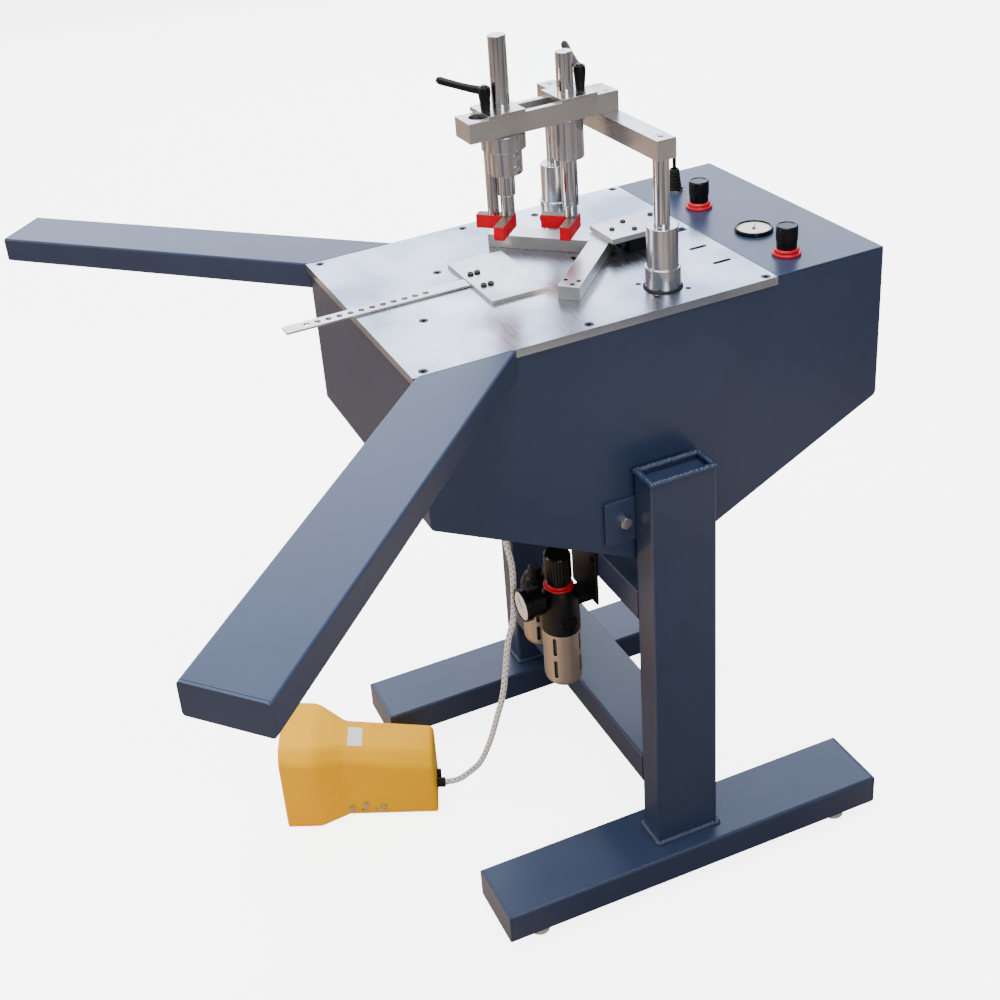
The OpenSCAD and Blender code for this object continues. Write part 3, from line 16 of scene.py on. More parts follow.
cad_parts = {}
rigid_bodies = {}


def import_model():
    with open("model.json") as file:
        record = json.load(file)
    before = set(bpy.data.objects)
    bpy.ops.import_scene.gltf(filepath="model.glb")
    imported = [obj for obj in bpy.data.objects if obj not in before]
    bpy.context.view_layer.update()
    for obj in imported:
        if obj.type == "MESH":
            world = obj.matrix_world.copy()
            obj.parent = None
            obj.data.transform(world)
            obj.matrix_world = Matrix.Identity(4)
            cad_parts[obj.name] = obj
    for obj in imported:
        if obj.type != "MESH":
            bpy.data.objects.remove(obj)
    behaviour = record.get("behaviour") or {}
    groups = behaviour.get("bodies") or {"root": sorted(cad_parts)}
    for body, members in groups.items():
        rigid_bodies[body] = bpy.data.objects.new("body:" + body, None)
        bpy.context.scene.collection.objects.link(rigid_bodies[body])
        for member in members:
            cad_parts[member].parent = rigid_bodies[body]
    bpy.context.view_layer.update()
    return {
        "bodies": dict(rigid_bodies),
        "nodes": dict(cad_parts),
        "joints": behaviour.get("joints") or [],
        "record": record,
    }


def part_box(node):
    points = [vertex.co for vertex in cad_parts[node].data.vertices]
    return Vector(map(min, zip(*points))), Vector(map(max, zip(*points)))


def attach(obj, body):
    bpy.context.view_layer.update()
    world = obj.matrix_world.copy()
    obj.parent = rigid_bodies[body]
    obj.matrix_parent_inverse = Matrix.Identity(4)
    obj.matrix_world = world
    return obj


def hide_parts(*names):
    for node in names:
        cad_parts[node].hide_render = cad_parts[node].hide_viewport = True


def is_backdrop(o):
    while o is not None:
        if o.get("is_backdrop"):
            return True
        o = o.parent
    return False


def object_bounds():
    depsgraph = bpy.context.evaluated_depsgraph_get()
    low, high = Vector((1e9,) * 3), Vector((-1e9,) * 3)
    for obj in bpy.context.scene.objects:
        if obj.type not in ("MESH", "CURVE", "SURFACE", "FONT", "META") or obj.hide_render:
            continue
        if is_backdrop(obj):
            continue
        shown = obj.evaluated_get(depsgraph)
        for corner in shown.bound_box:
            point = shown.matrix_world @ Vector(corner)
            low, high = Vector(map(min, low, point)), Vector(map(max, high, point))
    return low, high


LOG = logging.getLogger("underpinner")
MM = 0.001
# How far a cutter reaches past its piece
OVERRUN = 5 * MM
# Radial room round a shaft in its bore
RUNNING = 0.05 * MM
# Cosine above which a direction counts as an axis's own
ALIGNED = 0.9
# Points nearer to each other than this are merged
NEAR = 1e-6
# Edges that turn by less than this many degrees are shaded smooth
SMOOTH = 40
# Sides of a round, from a stem's to a wide casting's, and of a nut
FEW, SOME, MANY, MOST = 32, 48, 64, 72
HEX = 6
Piece = bpy.types.Object
Socket = bpy.types.NodeSocket
Point = tuple[float, float, float]
Flat = tuple[float, float]
Test = Callable[[Vector, Vector], bool]


def linear(code: str) -> tuple[float, float, float, float]:
    """Turns an sRGB hex colour into Blender's linear colour.

    Args:
        code: Six hex digits after a hash sign.

    Returns:
        Red, green, blue and an alpha of one.
    """
    parts = [int(code[i : i + 2], 16) / 255 for i in (1, 3, 5)]
    red, green, blue = (c / 12.92 if c <= 0.04045 else ((c + 0.055) / 1.055) ** 2.4 for c in parts)
    return red, green, blue, 1.0


class Graph:
    """A shader's node tree, with the steps that the finishes, the floor and the world share."""

    def __init__(self, tree: bpy.types.NodeTree) -> None:
        self.tree = tree

    @classmethod
    def of_material(cls, name: str) -> tuple[bpy.types.Material, Graph, bpy.types.Node]:
        """Makes a material with its node tree.

        Args:
            name: Name of the material.

        Returns:
            The material, its graph and its principled shader.
        """
        material = bpy.data.materials.new(name)
        material.use_nodes = True
        tree = material.node_tree
        return material, cls(tree), tree.nodes["Principled BSDF"]

    def feed(self, node: bpy.types.Node, feeds: dict) -> bpy.types.Node:
        """Fills inputs of a node.

        Args:
            node: The node.
            feeds: For each input, a socket that feeds it or a constant.

        Returns:
            The same node.
        """
        for name, value in feeds.items():
            if isinstance(value, Socket):
                self.tree.links.new(value, node.inputs[name])
            else:
                node.inputs[name].default_value = value
        return node

    def add(self, kind: str, feeds: dict | None = None, output: int | str = 0, **settings) -> Socket:
        """Adds one node.

        Args:
            kind: Blender's name for the node, without ShaderNode.
            feeds: For each input, a socket that feeds it or a constant.
            output: Number or name of the output that is wanted.
            settings: Properties of the node itself.

        Returns:
            The wanted output.
        """
        node = self.tree.nodes.new("ShaderNode" + kind)
        for name, value in settings.items():
            setattr(node, name, value)
        return self.feed(node, feeds or {}).outputs[output]

    def math(self, operation: str, *terms: Socket | float) -> Socket:
        """Adds one step on numbers."""
        return self.add("Math", dict(enumerate(terms)), operation=operation)

    def span(self, value: Socket, low: float, high: float, to_low: float = 0, to_high: float = 1) -> Socket:
        """Maps one range of values onto another."""
        ends = {"From Min": low, "From Max": high, "To Min": to_low, "To Max": to_high}
        return self.add("MapRange", {"Value": value, **ends})

    def blend(self, factor: Socket | float, first: object, second: object, **settings) -> Socket:
        """Mixes two colours."""
        return self.add("Mix", {"Factor": factor, "A": first, "B": second}, 2, data_type="RGBA", **settings)

    def noise(self, place: Socket, scale: float, detail: float) -> Socket:
        """Adds an even noise."""
        return self.add("TexNoise", {"Vector": place, "Scale": scale, "Detail": detail})

    def bump(self, height: Socket, strength: float, distance: float) -> Socket:
        """Turns a height into a normal."""
        return self.add("Bump", {"Height": height, "Strength": strength, "Distance": distance})


class Grain(Enum):
    """The way a pattern runs on a surface, as the stretch of its three axes."""

    EVEN = (1.0, 1.0, 1.0)
    ALONG_X = (0.03, 1.0, 1.0)
    ALONG_Y = (1.0, 0.03, 1.0)
    ROUND_Z = (0.02, 0.02, 1.0)


@dataclass(frozen=True)
class Finish:
    """One finish of the machine: what it is made of and how its surface was made.

    Attributes:
        name: The finish in a maker's words.
        colour: Main colour, sRGB hex.
        shade: Second colour of its slow unevenness, sRGB hex.
        roughness: Roughness of a clean spot.
        spread: How much the roughness wanders.
        metallic: One for bare metal.
        gloss: Strength of the mirror of a clean spot, a half for plain plastic.
        grit_mm: Spacing of the fine pattern.
        bump: Depth of the fine pattern.
        grain: The way the fine pattern runs.
        patch_mm: Size of the slow unevenness.
    """

    name: str
    colour: str
    shade: str
    roughness: float
    spread: float = 0.05
    metallic: float = 0.0
    gloss: float = 0.5
    grit_mm: float = 1.0
    bump: float = 0.05
    grain: Grain = Grain.EVEN
    patch_mm: float = 90.0

    def build(self) -> bpy.types.Material:
        """Makes the material with its slow and fine patterns.

        Returns:
            The material.
        """
        material, graph, shader = Graph.of_material(self.name)
        place = graph.add("TexCoord", output="Object")
        run = graph.add("Mapping", {"Vector": place, "Scale": self.grain.value}, vector_type="POINT")
        slow = graph.noise(place, 1 / (self.patch_mm * MM), 3.0)
        fine = graph.noise(run, 1 / (self.grit_mm * MM), 4.0)
        smooth, rough = max(0.02, self.roughness - self.spread), self.roughness + self.spread
        cloud = graph.span(slow, 0.34, 0.66)
        feeds = {
            "Metallic": self.metallic,
            "Specular IOR Level": self.gloss,
            "Base Color": graph.blend(cloud, linear(self.colour), linear(self.shade)),
            "Roughness": graph.span(graph.math("ADD", slow, fine), 0.6, 1.4, smooth, rough),
            "Normal": graph.bump(fine, self.bump, self.grit_mm * MM),
        }
        graph.feed(shader, feeds)
        return material


@dataclass(frozen=True)
class BraidedSleeve:
    """A woven polyester sleeve over a hose, white with short grey tracer stitches.

    Attributes:
        name: The finish in a maker's words.
        yarn: Colour of the main yarns.
        tracer: Colour of the tracer yarns.
        turns: Yarns side by side round the hose.
    """

    name: str = "Braided polyester sleeve"
    yarn: str = "#f4f5f6"
    tracer: str = "#565b62"
    turns: int = 3

    def build(self) -> bpy.types.Material:
        """Makes two sets of yarns that cross, from the hose's own UV map.

        Returns:
            The material.
        """
        material, graph, shader = Graph.of_material(self.name)
        uv = graph.add("UVMap", uv_map="braid")
        around, along_hose, _ = graph.add("SeparateXYZ", {"Vector": uv}).node.outputs
        yarns = []
        for way in (1.0, -1.0):
            slant = graph.math("MULTIPLY_ADD", along_hose, way, around)
            yarns.append(graph.math("SINE", graph.math("MULTIPLY", slant, 2 * math.pi * self.turns)))
        stitch = graph.math("MULTIPLY", graph.span(yarns[0], 0.45, 0.8), graph.span(yarns[1], -0.2, 0.3))
        feeds = {
            "Sheen Weight": 0.3,
            "Roughness": 0.62,
            "Base Color": graph.blend(stitch, linear(self.yarn), linear(self.tracer)),
            "Normal": graph.bump(graph.math("MAXIMUM", *yarns), 0.6, 0.5 * MM),
        }
        graph.feed(shader, feeds)
        return material


class Paintwork(Enum):
    """Every finish on the machine."""

    # Stoved enamel: an even colour with a soft gloss and a faint orange peel
    SLATE = Finish("Stoved slate enamel", "#2a3753", "#2c3a57", 0.33, 0.05, grit_mm=2.2, bump=0.03)
    # Ground tool steel: bright, with fine scratches that run across the table
    TABLE = Finish(
        "Ground steel", "#dadee4", "#98a3b4", 0.25, 0.12, 1.0, grit_mm=0.9, grain=Grain.ALONG_X, patch_mm=140
    )
    # Milled aluminium: pale, with cutter lines along the bar
    BAR = Finish(
        "Milled aluminium", "#dedcd9", "#c4c3c2", 0.33, 0.08, 1.0, grit_mm=0.8, grain=Grain.ALONG_Y
    )
    BRIDGE = Finish(
        "Milled aluminium crosswise", "#dedbd7", "#c8c5c2", 0.24, 0.08, 1.0, grit_mm=0.8,
        grain=Grain.ALONG_X,
    )
    # Turned steel: tool marks that run round the piece
    TURNED = Finish(
        "Turned steel", "#cfd0d3", "#bcbec4", 0.2, 0.06, 1.0, grit_mm=0.7, bump=0.04, grain=Grain.ROUND_Z
    )
    # Hard chrome on a ground rod: almost a mirror
    CHROME = Finish(
        "Hard chrome", "#d2d3d6", "#c6c8cc", 0.1, 0.03, 1.0, grit_mm=0.6, bump=0.01, grain=Grain.ROUND_Z
    )
    # Black oxide on a screw: dark and slightly oily
    OXIDE = Finish("Black oxide", "#26272a", "#303134", 0.38, 0.06, 0.8, grit_mm=0.8)
    # Zinc plate on a nut or screw: bright with a faint cloudiness
    ZINC = Finish("Zinc plate", "#dadad8", "#c0c2c2", 0.26, 0.08, 1.0, grit_mm=0.8, bump=0.03, patch_mm=12)
    # Cast polyurethane: a soft satin red
    PAD = Finish(
        "Cast polyurethane", "#cc0022", "#b8001c", 0.55, 0.05, gloss=0.1, grit_mm=1.2, bump=0.06, patch_mm=25
    )
    # Painted shade: the pads' up-facing tops are painted a dull brown for the shade that lies on them
    PAD_TOP = Finish("Oiled pad plate", "#5c4d43", "#766558", 0.42, 0.08, 0.5, grit_mm=0.9, patch_mm=9)
    # Moulded ABS: an even red with a gloss
    RED = Finish("Red ABS", "#c8102a", "#b80d24", 0.3, 0.04, gloss=0.35, bump=0.03)
    # Enamelled casting: thick soft yellow over a slightly wavy surface
    YELLOW = Finish("Yellow enamel", "#ffc000", "#ffb600", 0.38, 0.04, gloss=0.06, grit_mm=7.0, bump=0.04)
    # Glass filled nylon: black, satin, with a fine moulded grain
    NYLON = Finish("Glass filled nylon", "#0b0b0d", "#0f1012", 0.38, 0.06, gloss=0.22, grit_mm=0.9, bump=0.06)
    # Gloss black plastic of the knobs
    GLOSS = Finish("Gloss black moulding", "#07070a", "#0a0b0e", 0.24, 0.05, gloss=0.26, grit_mm=1.4, bump=0.02)
    # Moulded rubber: deep black and dull
    RUBBER = Finish("Moulded rubber", "#111112", "#171718", 0.62, 0.08, gloss=0.3, bump=0.1)
    # Pale nylon of the levellers' pads: waxy and nearly white
    PALE = Finish("Pale nylon", "#c9c7bf", "#bdbab1", 0.45, 0.05, grit_mm=1.2, bump=0.03, patch_mm=20)
    # Champagne lacquer over the bowl guards' pressed steel
    GUARD = Finish("Champagne lacquer", "#a8998a", "#b5a798", 0.3, 0.06, 0.6, bump=0.04)
    # Smoked polycarbonate bowl behind the guard: nearly black, with a clear gloss
    BOWL = Finish("Smoked polycarbonate", "#1b1a19", "#24211e", 0.12, 0.03, grit_mm=2.0, bump=0.01)
    # Printed dial: flat white
    DIAL = Finish("Printed dial", "#f2f2ee", "#ebebe6", 0.5, 0.03, bump=0.01)
    INK = Finish("Dial ink", "#1a1a1c", "#202023", 0.5, 0.03, bump=0.01)
    BRAID = BraidedSleeve()


class Select(Enum):
    """Which elements an edit acts on, as Blender's select mode."""

    VERT = (True, False, False)
    EDGE = (False, True, False)
    FACE = (False, False, True)


def everything(_place: Vector, _way: Vector) -> bool:
    """Passes every element."""
    return True


def along(axis: int) -> Test:
    """Makes a test for edges that run along an axis, or faces that look along it."""
    return lambda _place, way: abs(way[axis]) > ALIGNED


def upward(_place: Vector, way: Vector) -> bool:
    """Passes faces that look up."""
    return way.z > ALIGNED


def activate(piece: Piece) -> Piece:
    """Selects one piece alone and makes it active.

    Args:
        piece: The piece to work on.

    Returns:
        The same piece.
    """
    bpy.ops.object.select_all(action="DESELECT")
    piece.select_set(True)
    bpy.context.view_layer.objects.active = piece
    return piece


def named(piece: Piece, name: str) -> Piece:
    """Names a piece and its mesh.

    Args:
        piece: The piece.
        name: Its name.

    Returns:
        The same piece.
    """
    piece.name = name
    piece.data.name = name
    return piece


def taken(name: str) -> Piece:
    """Names the piece that was just added and puts its place into its mesh.

    Args:
        name: Name of the piece.

    Returns:
        The piece.
    """
    piece = activate(bpy.context.active_object)
    bpy.ops.object.transform_apply(location=True, rotation=True, scale=True)
    return named(piece, name)


def block(name: str, low: Sequence[float], high: Sequence[float]) -> Piece:
    """Adds a block.

    Args:
        name: Name of the piece.
        low: Lowest corner in metres.
        high: Highest corner in metres.

    Returns:
        The block, with its place in its mesh.
    """
    a, b = Vector(low), Vector(high)
    bpy.ops.mesh.primitive_cube_add(size=1, location=(a + b) / 2, scale=b - a)
    return taken(name)


@contextmanager
def editing(piece: Piece, kind: Select, test: Test = everything) -> Iterator[None]:
    """Opens edit mode with the elements that pass a test selected.

    Args:
        piece: The piece to edit.
        kind: Whether vertices, edges or faces are picked.
        test: Takes an element's centre and its normal or direction.

    Yields:
        Nothing; the body of the with statement runs in edit mode.
    """
    activate(piece)
    mesh = piece.data
    for elements in (mesh.vertices, mesh.edges, mesh.polygons):
        elements.foreach_set("select", [False] * len(elements))
    if kind is Select.VERT:
        for v in mesh.vertices:
            v.select = test(v.co, v.normal)
    elif kind is Select.EDGE:
        for e in mesh.edges:
            a, b = (mesh.vertices[i].co for i in e.vertices)
            e.select = test((a + b) / 2, (b - a).normalized())
    else:
        for f in mesh.polygons:
            f.select = test(f.center, f.normal)
    bpy.context.tool_settings.mesh_select_mode = kind.value
    bpy.ops.object.mode_set(mode="EDIT")
    yield
    bpy.ops.object.mode_set(mode="OBJECT")


def bevelled(piece: Piece, test: Test, width: float, steps: int) -> Piece:
    """Rounds some edges of a piece.

    Args:
        piece: The piece to work on.
        test: Passes the edges to round.
        width: Width of the rounding in metres.
        steps: Segments of the rounding.

    Returns:
        The same piece.
    """
    with editing(piece, Select.EDGE, test):
        bpy.ops.mesh.bevel(offset=width, segments=steps, affect="EDGES")
    return piece


def opened(piece: Piece, test: Test) -> Piece:
    """Opens a piece.

    Args:
        piece: The piece to work on.
        test: Passes the faces to take away.

    Returns:
        The same piece.
    """
    with editing(piece, Select.FACE, test):
        bpy.ops.mesh.delete(type="FACE")
    return piece


def pull(move: Point, size: Point = (1, 1, 1), about: Point = (0, 0, 0)) -> None:
    """Draws the selection out in edit mode.

    Args:
        move: How far it is drawn.
        size: Scale of its end.
        about: The point that its end is scaled about.
    """
    bpy.ops.mesh.extrude_region_move(TRANSFORM_OT_translate={"value": move})
    if size != (1, 1, 1):
        bpy.ops.transform.resize(value=size, center_override=about)


def merge_all() -> None:
    """Selects all and merges what lies together, in edit mode."""
    bpy.ops.mesh.select_all(action="SELECT")
    bpy.ops.mesh.remove_doubles(threshold=NEAR)
    bpy.ops.mesh.select_all(action="SELECT")


def turned(name: str, steps: Sequence[Flat], sides: int = MANY) -> Piece:
    """Turns a round piece about Z by pulling a disc up through its steps.

    Args:
        name: Name of the piece.
        steps: Height and radius of each step in metres, from the bottom up.
        sides: Sides of the round.

    Returns:
        The closed piece, centred on the Z axis.
    """
    height, radius = steps[0]
    bpy.ops.mesh.primitive_circle_add(vertices=sides, radius=radius, fill_type="NGON", location=(0, 0, height))
    piece = taken(name)
    with editing(piece, Select.FACE):
        for z, r in steps[1:]:
            pull((0, 0, z - height), (r / radius, r / radius, 1), (0, 0, z))
            height, radius = z, r
        merge_all()
        bpy.ops.mesh.normals_make_consistent(inside=False)
    return piece


def pin(name: str, low: float, high: float, radius: float, sides: int = MANY) -> Piece:
    """Turns a plain cylinder between two heights."""
    return turned(name, [(low, radius), (high, radius)], sides)


def bored(name: str, profile: Sequence[Flat], sides: int = MANY) -> Piece:
    """Turns a round piece about Z from the whole outline of its section.

    Args:
        name: Name of the piece.
        profile: Radius and height of each corner of the section, all round it.
        sides: Sides of the round.

    Returns:
        The closed piece, centred on the Z axis.
    """
    radius, height = profile[0]
    bpy.ops.mesh.primitive_plane_add(size=MM, location=(radius, 0, height))
    piece = taken(name)
    with editing(piece, Select.VERT):
        bpy.ops.mesh.merge(type="CENTER")
        for r, z in (*profile[1:], profile[0]):
            pull((r - radius, 0, z - height))
            radius, height = r, z
        merge_all()
        bpy.ops.mesh.spin(steps=sides, angle=2 * math.pi, center=(0, 0, 0), axis=(0, 0, 1))
        merge_all()
        bpy.ops.mesh.delete_loose(use_verts=True, use_edges=True, use_faces=False)
        bpy.ops.mesh.select_all(action="SELECT")
        bpy.ops.mesh.normals_make_consistent(inside=False)
    return piece


def drawn(name: str, stations: Sequence[tuple[float, float, float, float]], sides: int = 24) -> Piece:
    """Draws an oval section out along X, as a moulded lever's arm runs.

    Args:
        name: Name of the piece.
        stations: Distance, height, half width and half height of each section.
        sides: Sides of the oval.

    Returns:
        The closed piece.
    """
    x, z, wide, tall = stations[0]
    bpy.ops.mesh.primitive_circle_add(
        vertices=sides, radius=wide, fill_type="NGON", location=(x, 0, z), rotation=(0, math.pi / 2, 0)
    )
    piece = taken(name)
    with editing(piece, Select.FACE):
        bpy.ops.transform.resize(value=(1, 1, tall / wide), center_override=(x, 0, z))
        for next_x, next_z, next_wide, next_tall in stations[1:]:
            size = (1, next_wide / wide, next_tall / tall)
            pull((next_x - x, 0, next_z - z), size, (next_x, 0, next_z))
            x, z, wide, tall = next_x, next_z, next_wide, next_tall
        bpy.ops.mesh.select_all(action="SELECT")
        bpy.ops.mesh.normals_make_consistent(inside=False)
    return piece


def over(base: float, *rows: Flat) -> list[Flat]:
    """Gives steps in metres from rows of height over a base and radius, in millimetres."""
    return [(base + z * MM, r * MM) for z, r in rows]


def heights(node: str) -> Flat:
    """Lowest and highest point of a node."""
    low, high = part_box(node)
    return low.z, high.z


def moved(piece: Piece, matrix: Matrix) -> Piece:
    """Moves a piece's mesh and keeps its faces outwards.

    Args:
        piece: The piece.
        matrix: The move.

    Returns:
        The same piece.
    """
    piece.data.transform(matrix)
    if matrix.determinant() < 0:
        piece.data.flip_normals()
    return piece


def copied(piece: Piece, name: str, matrix: Matrix) -> Piece:
    """Copies a piece with its own mesh and moves the copy.

    Args:
        piece: The piece to copy.
        name: Name of the copy.
        matrix: The copy's move.

    Returns:
        The copy.
    """
    twin = piece.copy()
    twin.data = piece.data.copy()
    bpy.context.scene.collection.objects.link(twin)
    return moved(named(twin, name), matrix)


def joined(name: str, parts: Sequence[Piece]) -> Piece:
    """Joins two or more parts into one piece.

    Args:
        name: Name of the piece.
        parts: The parts.

    Returns:
        The piece.
    """
    activate(parts[0])
    for part in parts:
        part.select_set(True)
    bpy.ops.object.join()
    return named(bpy.context.view_layer.objects.active, name)


def scattered(name: str, master: Piece, places: Sequence[Matrix]) -> Piece:
    """Puts joined copies of a piece in its stead.

    Args:
        name: Name of the result.
        master: The piece to copy, which goes.
        places: The place of each copy.

    Returns:
        The joined copies.
    """
    copies = [copied(master, name, place) for place in places]
    bpy.data.objects.remove(master)
    return joined(name, copies)


def modified(piece: Piece, kind: str, **settings) -> Piece:
    """Applies one modifier.

    Args:
        piece: The piece to work on.
        kind: Blender's name for the modifier.
        settings: Its settings.

    Returns:
        The same piece.
    """
    activate(piece)
    modifier = piece.modifiers.new(kind.title(), kind)
    for name, value in settings.items():
        setattr(modifier, name, value)
    bpy.ops.object.modifier_apply(modifier=modifier.name)
    return piece


def drilled(piece: Piece, cutter: Piece) -> Piece:
    """Cuts one piece out of another and takes the cutter away.

    Args:
        piece: The piece that stays.
        cutter: The piece that is cut out of it.

    Returns:
        The piece that stays.
    """
    modified(piece, "BOOLEAN", operation="DIFFERENCE", solver="EXACT", object=cutter)
    bpy.data.objects.remove(cutter)
    return piece


def walled(piece: Piece, wall: float) -> Piece:
    """Gives an open shell its wall, inwards."""
    return modified(piece, "SOLIDIFY", thickness=wall, offset=-1, use_even_offset=True)


def soften(piece: Piece, width: float = 0, steps: int = 2, angle: float = 35) -> Piece:
    """Rounds a piece's sharp edges and shades it.

    Args:
        piece: The piece to finish.
        width: Width of the rounding in metres.
        steps: Segments of the rounding.
        angle: Edges sharper than this many degrees are rounded.

    Returns:
        The same piece.
    """
    if width > 0:
        edge = {"width": width, "segments": steps, "limit_method": "ANGLE", "angle_limit": math.radians(angle)}
        modified(piece, "BEVEL", **edge, use_clamp_overlap=False, miter_outer="MITER_ARC")
    activate(piece)
    bpy.ops.object.shade_smooth_by_angle(angle=math.radians(SMOOTH))
    return modified(piece, "WEIGHTED_NORMAL", keep_sharp=True)


def fluted(piece: Piece, low: float, high: float, sides: int, depth: float) -> Piece:
    """Sinks every third face of a round knob, for the grip.

    Args:
        piece: The knob, centred on the Z axis.
        low: Height where the flutes start.
        high: Height where they end.
        sides: Sides of the knob, a multiple of three.
        depth: Depth of a flute.

    Returns:
        The same piece.
    """
    cell = 2 * math.pi / sides

    def in_flute(place: Vector, way: Vector) -> bool:
        """Passes every third face of the grip."""
        turn = int(math.atan2(place.y, place.x) / cell + sides)
        return low < place.z < high and abs(way.z) < 0.3 and turn % 3 == 0

    with editing(piece, Select.FACE, in_flute):
        bpy.ops.mesh.inset(thickness=0.5 * depth, depth=-depth, use_individual=True)
    return piece


def shift(x: float, y: float, z: float) -> Matrix:
    """A move by three distances."""
    return Matrix.Translation((x, y, z))


def spun(degrees: float, axis: str) -> Matrix:
    """A turn about one axis through the origin."""
    return Matrix.Rotation(math.radians(degrees), 4, axis)


MIRROR_X = Matrix.Scale(-1, 4, (1, 0, 0))


@dataclass
class Assembly:
    """What every sub-assembly shares: the frame, its finishes and how a piece is dressed.

    Attributes:
        paints: The materials, by finish.
    """

    frame: dict
    paints: dict[Paintwork, bpy.types.Material]

    def body_of(self, node: str) -> str:
        """Name of the body that holds a node."""
        groups = self.frame["record"]["behaviour"]["bodies"]
        return next(body for body, nodes in groups.items() if node in nodes)

    @property
    def middle(self) -> float:
        """Distance of the uprights' centre from the origin."""
        low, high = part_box("lower_cross_beam")
        return (low.y + high.y) / 2

    @property
    def cover(self) -> float:
        """Height of the rear cover's face."""
        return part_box("rear_cover")[1].z

    @staticmethod
    def centre(node: str) -> Matrix:
        """The place of the vertical line through a node's middle."""
        low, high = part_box(node)
        return shift((low.x + high.x) / 2, (low.y + high.y) / 2, 0)

    def dress(
        self, piece: Piece, paint: Paintwork, node: str, place: Matrix | None = None, instead: bool = True
    ) -> Piece:
        """Paints a finished piece and fixes it to its node's body.

        Args:
            piece: The piece.
            paint: Its finish.
            node: The node that it stands for or sits on.
            place: Where it goes, or none when its place is in its mesh.
            instead: Whether the node is hidden behind it.

        Returns:
            The same piece.
        """
        if place is not None:
            moved(piece, place)
        if not piece.data.materials:
            piece.data.materials.append(self.paints[paint])
        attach(piece, self.body_of(node))
        if instead:
            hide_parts(node)
        LOG.info("%s: %d faces", piece.name, len(piece.data.polygons))
        return piece

    def eased(self, node: str, paint: Paintwork, width_mm: float = 0.6, steps: int = 2) -> Piece:
        """Copies a node's exact solid, eases its edges as a maker does and stands it in.

        Args:
            node: The node to copy.
            paint: Its finish.
            width_mm: Width of the eased edge.
            steps: Segments of the eased edge.

        Returns:
            The finished piece.
        """
        piece = copied(self.frame["nodes"][node], node + "_finished", Matrix())
        piece.parent = None
        for key in list(piece.keys()):
            del piece[key]
        piece.data.materials.clear()
        activate(piece)
        if piece.data.has_custom_normals:
            bpy.ops.mesh.customdata_custom_splitnormals_clear()
        with editing(piece, Select.FACE):
            bpy.ops.mesh.remove_doubles(threshold=2 * NEAR)
            bpy.ops.mesh.dissolve_limited(angle_limit=math.radians(0.5))
        return self.dress(soften(piece, width_mm * MM, steps), paint, node)

    def two_tone(self, piece: Piece, paint: Paintwork, test: Test) -> None:
        """Gives some faces of a piece a second finish.

        Args:
            piece: The dressed piece.
            paint: The second finish.
            test: Passes the faces that get it.
        """
        piece.data.materials.append(self.paints[paint])
        for face in piece.data.polygons:
            if test(face.center, face.normal):
                face.material_index = 1


